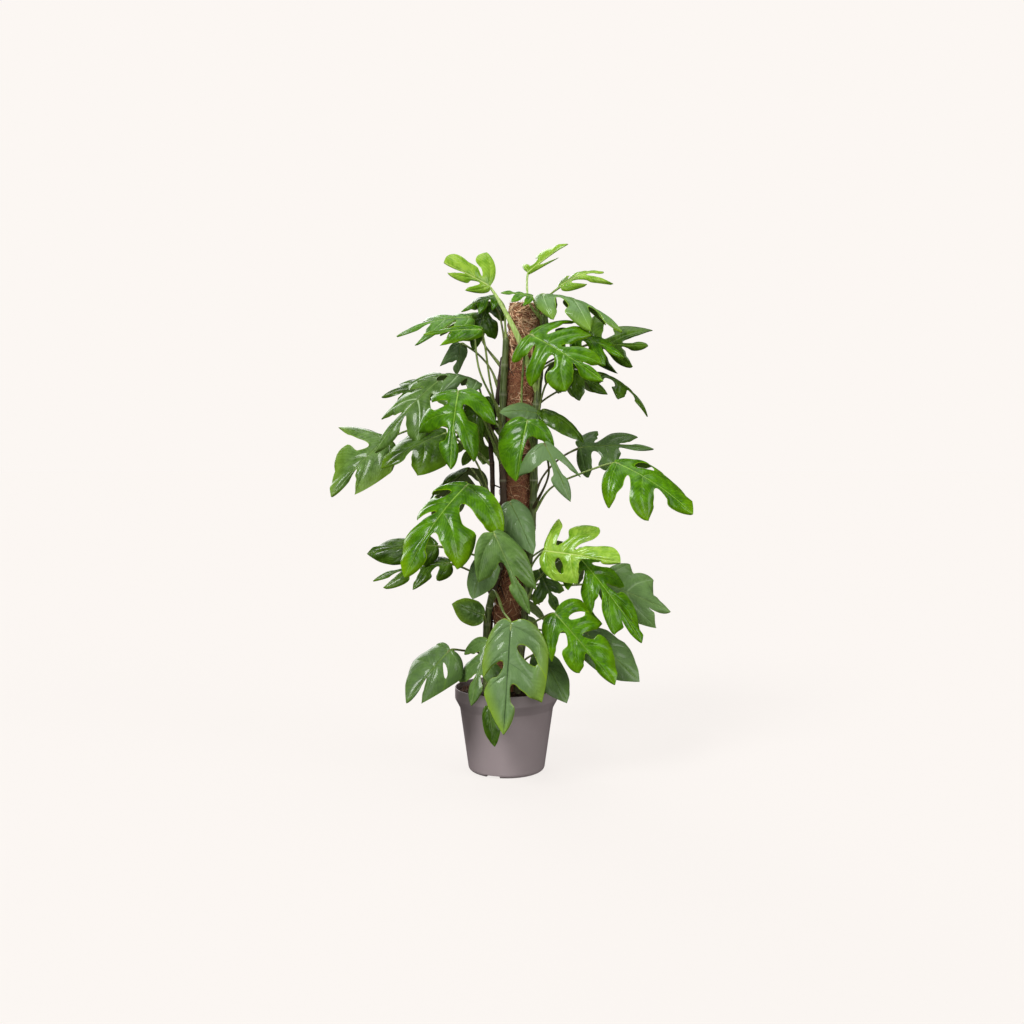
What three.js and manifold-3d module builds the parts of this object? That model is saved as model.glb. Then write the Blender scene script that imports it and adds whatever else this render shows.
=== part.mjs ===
// A mini monstera (Rhaphidophora tetrasperma) climbing a coir pole in a plastic nursery pot.
// Millimetres, +Z up, -Y is the plant's front. The origin is the middle of the pot's base.
import * as THREE from 'three';
import { mergeVertices } from 'three/addons/utils/BufferGeometryUtils.js';
import Module from 'manifold-3d';

const wasm = await Module();
wasm.setup();

// ---- driving dimensions ------------------------------------------------------------------------
const GAP = 0.35; // clearance between neighbouring pieces
const POT = { foot: 73, neck: 86, rim: 95, height: 154, wall: 1.8, floor: 2.5 };
const POT_ROUND = 9; // radius of the rounded bottom edge
const POT_FOOT = 25; // height where the foot radius is measured
const POT_LEDGE = 117; // height where the rim's taper begins
const POT_BAND = 134; // height where the rim's straight band begins
const POT_SIDES = 32;
const CHANNEL = { count: 3, first: 248, width: 28, height: 5, inner: 26 }; // drain channels
const DRAIN = { radius: 5.5, at: 46, sides: 12 }; // a hole in each channel, this far from the axis
const SOIL = { top: 143, bottom: 8.2, mound: 4, grain: 1.6 };
const POLE = { foot: [-9, 4, 12], top: [36, 10, 852], radius: 28, lump: 1.1, sides: 16, rings: 10 };
const POLE_SEAT = 300; // height above which nothing is cut for the pole
const CORE = { radius: 9, sides: 12, head: 840 };
const STEM_SIDES = 6;
const BLADE_THICKNESS = 0.9;
const SLIVER = 0.03; // edges shorter than this, left by a join or cut, are closed up
const PETIOLE = { radius: 2.0, sides: 5, steps: 5 };

// Each stem: radius, then its way up the pole as [height, compass angle about the pole, stand-off].
// The angle is counted from +X towards +Y, so 270 is the plant's front.
const STEMS = {
  left: {
    radius: 6.5,
    way: [[70, 190, 36], [150, 196, 38], [280, 196, 42], [335, 214, 39], [375, 230, 37],
      [440, 240, 36.5], [520, 228, 36.5], [600, 212, 36.5], [700, 204, 36.5], [795, 206, 37]],
  },
  right: {
    radius: 7,
    way: [[70, 300, 37.5], [150, 304, 37.5], [300, 318, 37.5], [400, 324, 37.5], [500, 328, 37.5],
      [600, 318, 37.5], [700, 322, 37.5], [790, 330, 37.5], [835, 332, 38]],
  },
  dark: {
    radius: 4.5,
    way: [[70, 152, 36], [150, 150, 37], [300, 158, 38], [430, 170, 40], [550, 180, 46],
      [610, 184, 52], [680, 186, 44], [760, 180, 38]],
  },
  back: {
    radius: 6.5,
    way: [[70, 70, 36.5], [150, 72, 36.5], [330, 88, 36.5], [520, 76, 36.5], [700, 92, 36.5],
      [800, 84, 37]],
  },
};

// The gap after a lobe: at two places along it, how far its own edge and the next lobe's edge stand
// from its vein, as shares of the way to the next vein. Equal shares close the gap there.
const GAPS = {
  o: [[0.33, 0.7], [0.24, 0.46]], // open
  w: [[0.22, 0.82], [0.12, 0.62]], // wide open
  v: [[0.4, 0.62], [0.2, 0.58]], // narrow at the midrib and wide at the margin
  s: [[0.42, 0.58], [0.32, 0.44]], // a slit
  t: [[0.5, 0.5], [0.36, 0.54]], // cut only in its outer half
  y: [[0.42, 0.6], [0.48, 0.84]], // a gap after a lobe that widens to a blunt end
  h: [[0.43, 0.57], [0.45, 0.45]], // a narrow hole inside a whole margin
  q: [[0.33, 0.67], [0.45, 0.45]], // a round one
  n: [[0.5, 0.5], [0.5, 0.5]], // only a notch in the margin
  e: [[0.5, 0.5], [0.5, 0.5]], // no gap
};
const WHOLE_EDGE = 'hqe'; // the gaps past which the margin runs on unbroken

// Leaf forms: each lobe's [end, reach] along and across the leaf as shares of its length, from the
// base to the tip, and the gap after each lobe.
const FORMS = {
  split3: { lobes: [[0.2, 0.42], [0.52, 0.44], [0.82, 0.28]], gaps: 'vos' },
  split2: { lobes: [[0.26, 0.44], [0.68, 0.38]], gaps: 'vs' },
  whole: { lobes: [[0.24, 0.32], [0.62, 0.27]], gaps: 'ee' },
};

// One row a leaf: name, stem, height of its node, tone, curl along the midrib and cup across it in
// degrees, middle of the blade's base, blade tip, the way its upper side faces, points that the stalk
// passes, and its form. The best known leaves have, in place of a form, the lobes and gaps of the left
// side and then of the right side, seen from above with the tip away.
const LEAVES = [
  ['top_left_young', 'right', 690, 'young', 15, 15, [-29, -35, 880], [-110, -60, 918], [0.1, -0.9, 0.3],
    [[20, -48, 790]], [[0.42, 0.3], [0.86, 0.14]], 'os', [[0.26, 0.76], [0.9, 0.3]], 'ye'],
  ['crown_right', 'right', 770, 'bright', 50, 55, [60, -30, 867], [205, -60, 796], [0.3, -0.3, 0.9],
    [[72, -32, 815]], [[0.1, 0.38], [0.42, 0.35], [0.8, 0.2]], 'ooo', [[0.28, 0.42], [0.76, 0.34]], 'oo'],
  ['front_top', 'right', 590, 'bright', 25, 25, [40, -90, 789], [165, -140, 704], [0, -0.9, 0.4],
    [[28, -44, 655]], [[0.2, 0.6], [0.53, 0.44], [0.86, 0.18]], 'vvs',
    [[0.02, 0.36], [0.36, 0.5], [0.74, 0.33]], 'vos'],
  ['right_top_dark', 'back', 690, 'dark', 10, 20, [154, 30, 785], [263, 40, 782], [0, -0.95, 0.2], [],
    [[0.12, 0.6], [1.12, 0.34]], 'oo', [[0.5, 0.5], [0.75, 0.36]], 'vv'],
  ['left_far', 'dark', 560, 'mid', 20, 10, [-222, 20, 610], [-318, -20, 504], [-0.3, -0.9, 0.35],
    [[-120, 25, 635]], [[0.3, 0.36], [0.8, 0.2]], 'ev', [[0.2, 0.74], [0.72, 0.24]], 'oe'],
  ['left_top_edge', 'left', 580, 'dark', 50, 55, [-51, -45, 711], [-156, -85, 708], [0, -0.35, 0.93],
    [[-36, -40, 650]], [[0.2, 0.36], [0.8, 0.42]], 'vo', [[0.1, 0.4], [0.6, 0.38]], 'vo'],
  ['left_bright', 'left', 560, 'bright', 40, 40, [-81, -125, 690], [-92, -190, 555], [-0.1, -0.8, 0.6],
    [[-50, -75, 660]], [[0.34, 0.5], [0.9, 0.26]], 'os', [[-0.02, 0.38], [0.42, 0.6]], 'oo'],
  ['centre_bright', 'right', 540, 'bright', 40, 30, [37, -112, 640], [17, -138, 534], [-0.1, -0.85, 0.5],
    [], [[0.34, 0.52]], 'w', [[0.3, 0.42], [0.7, 0.32]], 'ee'],
  ['centre_blue', 'right', 480, 'dark', 20, 30, [64, -152, 600], [108, -178, 501], [0.1, -0.85, 0.5],
    [[74, -98, 548]], [[0.69, 0.37]], 'o', [[0.28, 0.62]], 'o'],
  ['right_back_dark', 'right', 500, 'dark', 30, 30, [131, 0, 593], [271, 10, 591], [0.1, -0.8, 0.55], [],
    [[0.28, 0.36], [0.82, 0.22]], 'vo', [[0.1, 0.42], [0.5, 0.32]], 'ov'],
  ['right_far', 'right', 470, 'bright', 30, 40, [192, -60, 567], [326, -95, 476], [0.1, -0.65, 0.75], [],
    [[0.3, 0.42], [0.7, 0.4]], 'qe', [[0.22, 0.52], [0.68, 0.4]], 'vo'],
  ['mid_left_bright', 'left', 440, 'bright', 40, 40, [-65, -120, 530], [-169, -190, 375],
    [-0.25, -0.75, 0.6], [], [[0.22, 0.55], [0.74, 0.38]], 'oo',
    [[0.12, 0.42], [0.43, 0.29], [0.7, 0.25]], 'oye'],
  ['mid_left_behind', 'dark', 360, 'dark', 40, 30, [-125, -30, 416], [-251, -40, 402], [-0.1, -0.85, 0.5],
    [], [[0.2, 0.3], [0.72, 0.21]], 'oe', [[0.2, 0.28], [0.68, 0.2]], 've'],
  ['mid_left_low', 'dark', 320, 'dark', 30, 40, [-102, -30, 385], [-240, -45, 354], [-0.1, -0.5, 0.85],
    [], [[0.2, 0.25], [0.54, 0.32], [0.9, 0.16]], 'ooo', [[0.2, 0.4], [0.6, 0.36]], 'oo'],
  ['mid_centre', 'left', 400, 'mid', 20, 20, [-21, -171, 450], [40, -198, 314], [0, -0.95, 0.3], [],
    [[0.35, 0.25], [0.78, 0.19]], 'es', [[0.44, 0.39]], 'o'],
  ['right_low_lime', 'right', 345, 'young', 20, 15, [66, -90, 412], [195, -145, 396], [0, -0.95, 0.3], [],
    [[0.04, 0.48], [0.62, 0.42], [0.87, 0.19]], 'oye', [[0.22, 0.35], [0.52, 0.34]], 'qw'],
  ['right_low_gloss', 'right', 305, 'bright', 20, 30, [122, -90, 407], [235, -120, 254],
    [0.2, -0.7, 0.65], [], [[0.2, 0.34], [0.5, 0.28], [0.84, 0.14]], 'voq',
    [[0.22, 0.28], [0.52, 0.23], [0.8, 0.18]], 'vvn'],
  ['right_low_dull', 'back', 300, 'mid', 20, 20, [176, -20, 347], [298, -30, 296], [0.15, -0.9, 0.4], [],
    [[0.25, 0.5], [0.64, 0.37]], 'nn', [[0.35, 0.35], [0.91, 0.29]], 'en'],
  ['right_low_bright', 'right', 230, 'bright', 20, 30, [83, -130, 308], [184, -170, 191], [0, -0.85, 0.5],
    [], [[0.07, 0.38], [0.4, 0.41], [0.74, 0.25]], 'qoe', [[0.38, 0.38], [0.67, 0.22]], 'oo'],
  ['bottom_centre', 'left', 320, 'mid', 20, 20, [8, -150, 295], [-4, -200, 113], [0, -0.9, 0.42], [],
    [[0.27, 0.38], [0.7, 0.34]], 'qo', [[0.28, 0.23], [0.5, 0.22], [0.66, 0.2]], 'ewe'],
  ['bottom_small', 'left', 165, 'dark', 20, 30, [-30, -150, 150], [-19, -165, 84], [0, -0.95, 0.3],
    [[-38, -90, 215]], [[0.3, 0.22], [0.65, 0.2]], 'ee', [[0.3, 0.22], [0.65, 0.2]], 'ee'],
  ['bottom_left', 'left', 190, 'dark', 20, 40, [-97, -120, 243], [-170, -160, 158], [-0.25, -0.85, 0.45],
    [], [[0.21, 0.44], [0.88, 0.18]], 'hs', [[0.03, 0.3], [0.42, 0.5]], 'ee'],
  ['top_right_young', 'right', 820, 'young', 15, 20, [38, -10, 909], [110, -30, 956], [-0.3, -0.8, 0.5],
    [[42, -26, 850], [37, -14, 885]], [[-0.05, 0.42], [0.48, 0.34]], 'we', [[0.7, 0.14]], 'w'],
  ['crown_right_back', 'back', 780, 'young', 40, 20, [98, 10, 888], [181, 60, 922], [0, -0.6, 0.8], [],
    [[0.35, 0.24], [0.75, 0.2]], 'sn', [[0.4, 0.26], [1, 0.34]], 'wo'],
  ['right_top_mid', 'right', 660, 'bright', 40, 40, [88, -45, 796], [209, -50, 752], [0.1, -0.6, 0.75],
    [], 'split3'],
  ['right_top_low', 'back', 620, 'dark', 60, 30, [168, 20, 729], [259, 10, 650], [0.5, -0.4, 0.75], [],
    [[0.2, 0.16], [0.6, 0.14]], 'ee', [[0.1, 0.18], [0.5, 0.36]], 'wo'],
  ['right_top_under', 'right', 620, 'dark', 30, 40, [96, -40, 735], [178, -75, 686], [0.1, -0.75, 0.6],
    [], 'split2'],
  ['crown_left', 'left', 650, 'bright', 35, 35, [-63, -20, 827], [-195, -50, 790], [-0.1, -0.6, 0.8],
    [[-48, -22, 730]], [[0.35, 0.32], [0.85, 0.26]], 'vv', [[0.12, 0.32], [0.55, 0.34]], 'vs'],
  ['crown_left_front', 'left', 625, 'bright', 20, 30, [-43, -96, 796], [-141, -130, 784],
    [-0.1, -0.85, 0.5], [[-27, -64, 700]], [[0.35, 0.2], [0.78, 0.24]], 'ev', [[0.3, 0.12], [0.65, 0.09]],
    'ee'],
  ['crown_left_dark', 'left', 770, 'dark', 20, 30, [-32, 12, 860], [-62, 10, 770], [-0.1, -0.9, 0.4], [],
    [[0.25, 0.42], [0.66, 0.36]], 'ss', [[0.25, 0.5], [0.66, 0.42]], 'vs'],
  ['crown_left_arch', 'left', 785, 'bright', 40, 40, [-17, -8, 866], [-82, -12, 838], [-0.2, -0.6, 0.75],
    [], [[0.25, 0.4], [0.64, 0.36]], 'vv', [[0.25, 0.4], [0.64, 0.36]], 'vs'],
  ['back_left_grey', 'dark', 700, 'mid', 20, 20, [-85, 30, 786], [-92, 40, 729], [0.1, -0.9, 0.3], [],
    [[0.25, 0.26], [0.55, 0.18]], 'ee', [[0.2, 0.36], [0.84, 0.62]], 'ev'],
  ['left_stripe', 'dark', 600, 'mid', 30, 25, [-116, 8, 722], [-238, -22, 584], [-0.35, -0.75, 0.5],
    [[-75, 28, 672]], [[0.22, 0.36], [0.7, 0.32]], 'vs', [[0.25, 0.34], [0.7, 0.28]], 'sv'],
  ['left_back_top', 'dark', 620, 'dark', 30, 30, [-130, 95, 713], [-240, 100, 691], [-0.2, -0.7, 0.65],
    [[-78, 52, 685]], [[0.3, 0.32], [0.78, 0.28]], 'vt', [[0.25, 0.36], [0.7, 0.3]], 'sn'],
  ['left_inner_dark', 'dark', 640, 'dark', 30, 30, [-40, -14, 685], [-76, -20, 588], [-0.2, -0.85, 0.45],
    [], [[0.25, 0.28], [0.68, 0.24]], 'ts', [[0.25, 0.42], [0.68, 0.36]], 'ns'],
  ['left_low_dark', 'dark', 480, 'dark', 30, 40, [-107, -30, 620], [-222, -60, 556], [0, -0.7, 0.7], [],
    [[0.26, 0.44], [0.66, 0.38]], 'es', [[0.26, 0.42], [0.64, 0.36]], 'ee'],
  ['centre_top_dark', 'right', 575, 'dark', 50, 40, [57, -66, 652], [-12, -98, 652], [0, -0.85, 0.5], [],
    'whole'],
  ['centre_top_right', 'right', 590, 'dark', 50, 50, [63, -60, 660], [136, -80, 600], [0.35, -0.5, 0.8],
    [], 'whole'],
  ['mid_centre_grey', 'right', 420, 'dark', 20, 40, [6, -85, 498], [47, -105, 406], [0.1, -0.8, 0.6], [],
    'whole'],
  ['low_left_olive', 'left', 260, 'mid', 20, 25, [-41, -30, 290], [-98, -50, 313], [0, -0.9, 0.4], [],
    [[0.25, 0.42], [0.64, 0.36]], 'ee', [[0.25, 0.38], [0.66, 0.32]], 'ee'],
  ['right_low_dark', 'back', 220, 'dark', 20, 20, [140, -60, 264], [236, -80, 178], [0.2, -0.85, 0.45],
    [], 'whole'],
  ['right_low_back', 'right', 285, 'dark', 20, 20, [58, -15, 371], [94, -17, 293], [0.1, -0.8, 0.5], [],
    'split2'],
  ['bottom_left_inner', 'left', 200, 'mid', 20, 30, [-30, -110, 258], [-60, -150, 151], [-0.3, -0.8, 0.5],
    [], 'split2'],
  ['bottom_right', 'right', 180, 'dark', 20, 30, [59, -90, 233], [105, -125, 150], [0.3, -0.85, 0.4], [],
    'whole'],
  ['crown_middle', 'right', 795, 'bright', 20, 40, [46, -62, 858], [-10, -66, 864], [0, -0.55, 0.83],
    [[58, -52, 828]], 'split2'],
  ['back_left_high', 'dark', 740, 'mid', 40, 40, [-50, 100, 850], [-120, 190, 805], [-0.3, 0.6, 0.7],
    [[-48, 65, 800]], 'split3'],
  ['back_right_high', 'back', 660, 'dark', 30, 40, [90, 110, 760], [180, 180, 705], [0.3, 0.7, 0.6], [],
    'split3'],
  ['back_middle', 'back', 520, 'bright', 30, 40, [-30, 130, 650], [-90, 200, 560], [-0.1, 0.8, 0.55], [],
    'split3'],
  ['back_left_mid', 'dark', 440, 'dark', 30, 40, [-70, 100, 556], [-150, 180, 456], [-0.4, 0.6, 0.7], [],
    'split3'],
  ['back_right_mid', 'back', 330, 'mid', 30, 40, [90, 105, 410], [190, 165, 320], [0.4, 0.6, 0.7], [],
    'split3'],
  ['back_low', 'back', 220, 'mid', 30, 30, [15, 135, 320], [25, 205, 200], [0.1, 0.85, 0.5], [],
    'split3'],
  ['mid_centre_low', 'left', 330, 'mid', 20, 30, [-38, -100, 402], [-58, -120, 330], [-0.1, -0.9, 0.4],
    [], [[0.15, 0.45], [0.6, 0.4]], 'ee', [[0.3, 0.28], [0.7, 0.24]], 'ee'],
];

// ---- small helpers -----------------------------------------------------------------------------
const vec = (a) => new THREE.Vector3(...a);
const radians = THREE.MathUtils.degToRad;
const mix = (a, b, t) => a + (b - a) * t;
const mixPoint = (p, q, t) => [mix(p[0], q[0], t), mix(p[1], q[1], t)];

// A repeatable draw from 0 to 1 for the pair (seed, k).
function draw(seed, k) {
  const s = Math.sin(seed * 127.1 + k * 311.7) * 43758.5453;
  return s - Math.floor(s);
}

function solid(geometry) {
  const bare = geometry.index ? geometry.toNonIndexed() : geometry.clone();
  bare.deleteAttribute('normal');
  bare.deleteAttribute('uv');
  const merged = mergeVertices(bare, 1e-4);
  return new wasm.Manifold(new wasm.Mesh({
    numProp: 3,
    vertProperties: merged.attributes.position.array,
    triVerts: new Uint32Array(merged.index.array),
  }));
}

function geometryOf(manifold) {
  const { numProp, numVert, vertProperties, triVerts } = manifold.getMesh();
  const position = new Float32Array(numVert * 3);
  for (let i = 0; i < numVert; i++) {
    position.set(vertProperties.subarray(i * numProp, i * numProp + 3), i * 3);
  }
  const geometry = new THREE.BufferGeometry();
  geometry.setAttribute('position', new THREE.BufferAttribute(position, 3));
  geometry.setIndex(new THREE.BufferAttribute(triVerts, 1));
  geometry.computeVertexNormals();
  return geometry;
}

// Lathe about +Z from a profile of [radius, height] pairs.
function lathe(profile, sides) {
  const geometry = new THREE.LatheGeometry(profile.map(([r, z]) => new THREE.Vector2(r, z)), sides);
  return geometry.rotateX(Math.PI / 2);
}

// A round bar of one radius along a smooth curve through the points.
function bar(points, radius, sides, steps) {
  const section = new THREE.Shape();
  for (let i = 0; i < sides; i++) {
    const turn = (i / sides) * 2 * Math.PI;
    section[i ? 'lineTo' : 'moveTo'](radius * Math.cos(turn), radius * Math.sin(turn));
  }
  section.closePath();
  const extrudePath = new THREE.CatmullRomCurve3(points, false, 'centripetal');
  return new THREE.ExtrudeGeometry(section, { steps, bevelEnabled: false, extrudePath });
}

// ---- pot ---------------------------------------------------------------------------------------
function potProfile(inset) {
  const slope = (POT.neck - POT.foot) / (POT_LEDGE - POT_FOOT);
  const side = (z) => POT.foot + slope * (z - POT_FOOT) - inset;
  const low = inset ? POT.floor : 0;
  const round = [0, 30, 60, 90].map((turn) => [
    side(POT_ROUND) - POT_ROUND * (1 - Math.sin(radians(turn))),
    low + POT_ROUND * (1 - Math.cos(radians(turn))),
  ]);
  const rim = POT.rim - inset;
  const top = POT.height + (inset ? 1 : 0);
  return [[0, low], ...round, [side(POT_LEDGE), POT_LEDGE], [rim, POT_BAND], [rim, top]];
}

function makePot() {
  const closed = (profile) => solid(lathe([...profile, [0, profile.at(-1)[1]]], POT_SIDES));
  const outer = closed(potProfile(0));
  let pot = outer.subtract(closed(potProfile(POT.wall)));
  for (let i = 0; i < CHANNEL.count; i++) {
    const turn = radians(CHANNEL.first + (i * 360) / CHANNEL.count);
    const block = (inner, width, height, low) => {
      const reach = POT.neck - inner;
      const box = new THREE.BoxGeometry(reach, width, height - low);
      box.translate(inner + reach / 2, 0, (height + low) / 2);
      return solid(box.rotateZ(turn));
    };
    const roofHeight = CHANNEL.height + POT.floor;
    const roof = block(CHANNEL.inner - POT.wall, CHANNEL.width + 2 * POT.wall, roofHeight, 0);
    pot = pot.add(roof.intersect(outer)).subtract(block(CHANNEL.inner, CHANNEL.width, CHANNEL.height, -1));
    const hole = new THREE.CylinderGeometry(DRAIN.radius, DRAIN.radius, 4 * roofHeight, DRAIN.sides);
    pot = pot.subtract(solid(hole.rotateX(Math.PI / 2).translate(DRAIN.at, 0, 0).rotateZ(turn)));
  }
  return pot;
}

// ---- pole, stems and soil ----------------------------------------------------------------------
const poleFoot = vec(POLE.foot);
const poleTop = vec(POLE.top);

function poleAt(z) {
  return poleFoot.clone().lerp(poleTop, (z - poleFoot.z) / (poleTop.z - poleFoot.z));
}

function alongPole(geometry) {
  const axis = poleTop.clone().sub(poleFoot).normalize();
  const turn = new THREE.Quaternion().setFromUnitVectors(new THREE.Vector3(0, 0, 1), axis);
  return geometry.applyQuaternion(turn).translate(poleFoot.x, poleFoot.y, poleFoot.z);
}

// The coir sleeve: a thick tube whose outside is lumpy, as fibre bound with thread is.
function makeSleeve() {
  const length = poleTop.distanceTo(poleFoot);
  const profile = [[CORE.radius + GAP, 0]];
  for (let i = 0; i <= POLE.rings; i++) profile.push([POLE.radius, (length * i) / POLE.rings]);
  profile.push([CORE.radius + GAP, length], [CORE.radius + GAP, 0]);
  const geometry = lathe(profile, POLE.sides);
  const p = geometry.attributes.position;
  for (let i = 0; i < p.count; i++) {
    const r = Math.hypot(p.getX(i), p.getY(i));
    if (r < POLE.radius - 1) continue;
    const turn = Math.atan2(p.getY(i), p.getX(i));
    const lump = 1 - (POLE.lump / POLE.radius) * (0.5 + 0.5 * Math.sin(5 * turn + p.getZ(i) / 17));
    p.setXY(i, p.getX(i) * lump, p.getY(i) * lump);
  }
  return solid(alongPole(geometry));
}

// A straight rod on the pole's axis, from below the pole's foot to a height above it.
function poleRod(radius, low, high, sides) {
  return solid(alongPole(lathe([[0, low], [radius, low], [radius, high], [0, high]], sides)));
}

function stemPoint([height, angle, standOff]) {
  const turn = radians(angle);
  return poleAt(height).add(new THREE.Vector3(standOff * Math.cos(turn), standOff * Math.sin(turn), 0));
}

const stemCurves = Object.fromEntries(
  Object.entries(STEMS).map(([name, { way }]) => [name, new THREE.CatmullRomCurve3(way.map(stemPoint))]),
);

function stemAtHeight(name, height) {
  const curve = stemCurves[name];
  let low = 0;
  let high = 1;
  for (let i = 0; i < 30; i++) {
    const middle = (low + high) / 2;
    if (curve.getPoint(middle).z < height) low = middle;
    else high = middle;
  }
  return curve.getPoint(low);
}

function makeStem(name, extra = 0) {
  const { radius, way } = STEMS[name];
  return solid(bar(way.map(stemPoint), radius + extra, STEM_SIDES, way.length + 4));
}

// What is cut away for a stem: the stem with its clearance, also under its foot.
function stemRoom(name) {
  const { radius, way } = STEMS[name];
  const foot = new THREE.CylinderGeometry(radius, radius, 4 * GAP, STEM_SIDES);
  return makeStem(name, GAP).add(solid(foot.rotateX(Math.PI / 2).translate(...stemPoint(way[0]))));
}

function makeSoil(cuts) {
  const inner = potProfile(POT.wall + GAP);
  const wallAt = (z) => {
    const i = inner.findIndex(([, height]) => height >= z);
    const [r0, z0] = inner[i - 1];
    const [r1, z1] = inner[i];
    return mix(r0, r1, (z - z0) / (z1 - z0));
  };
  const profile = [[0, SOIL.bottom], [wallAt(SOIL.bottom) - 3, SOIL.bottom], [wallAt(20) - 0.5, 20]];
  profile.push([wallAt(POT_LEDGE), POT_LEDGE], [wallAt(POT_BAND), POT_BAND], [wallAt(SOIL.top), SOIL.top]);
  for (const share of [0.82, 0.55]) profile.push([wallAt(SOIL.top) * share, SOIL.top]);
  profile.push([0, SOIL.top]);
  const geometry = lathe(profile, POT_SIDES);
  const p = geometry.attributes.position;
  const edge = wallAt(SOIL.top);
  for (let i = 0; i < p.count; i++) {
    const r = Math.hypot(p.getX(i), p.getY(i));
    if (p.getZ(i) < SOIL.top - 0.01 || r > edge - 1) continue;
    const rough = SOIL.grain * Math.sin(p.getX(i) * 0.31 + 1) * Math.cos(p.getY(i) * 0.27);
    p.setZ(i, SOIL.top + SOIL.mound * (1 - (r / edge) ** 2) + (r > 1 ? rough : 0));
  }
  return cuts.reduce((soil, cut) => soil.subtract(cut), solid(geometry));
}

// ---- leaves ------------------------------------------------------------------------------------
// A blade is drawn flat with its base at 0,0 and its tip at 1,0. Lateral veins run from the midrib
// to the lobes' tips; a lobe's edges lie part of the way to the next vein, at these levels along it.
const LEVELS = [0.17, 0.4, 0.7, 0.92];
const WHOLE_LEVEL = 0.97; // the last level on a margin that has no gap
// Beside the leaf's base: levels, and how wide the blade is there.
const HEEL = [[0.17, 1], [0.4, 0.97], [0.74, 0.81], [1.12, 0.47]];
// A lobe's blunt corner, on the side of the leaf's base.
const SHOULDER = { level: 1, width: 0.6 };
// How the leaf's own tip flares into the last gap and then narrows, level by level.
const TIP = { flare: 0.45, widths: [1, 1, 0.79, 0.24] };
const SAME = 1e-4; // shares of the length nearer than this are one point
const CROTCH = 0.95; // where the tip lobe leaves the midrib, as a share of its nearer gap's place
const FIRST_ROOT = 0.03;

// The two sides of a leaf that has one of the forms, each lobe a little longer or shorter.
function sidesOf(form, index) {
  return [0, 1].map((side) => ({
    gaps: form.gaps,
    lobes: form.lobes.map(([end, reach], j) => [
      end + 0.05 * (draw(index, 10 * j + side) - 0.5),
      reach * (0.94 + 0.12 * draw(index, 20 * j + side)),
    ]),
  }));
}

// One leaf's measures by name, from its row in the table.
function readLeaf([name, stem, node, tone, curl, cup, base, tip, facing, via, ...shape], index) {
  const [left, leftGaps, right, rightGaps] = shape;
  const own = [{ lobes: left, gaps: leftGaps }, { lobes: right, gaps: rightGaps }];
  const sides = shape.length > 1 ? own : sidesOf(FORMS[left], index);
  return { name, stem, node, tone, curl, cup, base, tip, facing, via, sides };
}

// The point a share of the way along a lobe's vein, which bends towards the leaf's tip.
function veinPoint(root, [end, reach], a) {
  const bend = [root + 0.25 * (end - root), 0.6 * reach];
  return mixPoint(mixPoint([root, 0], bend, a), mixPoint(bend, [end, reach], a), a);
}

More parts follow.
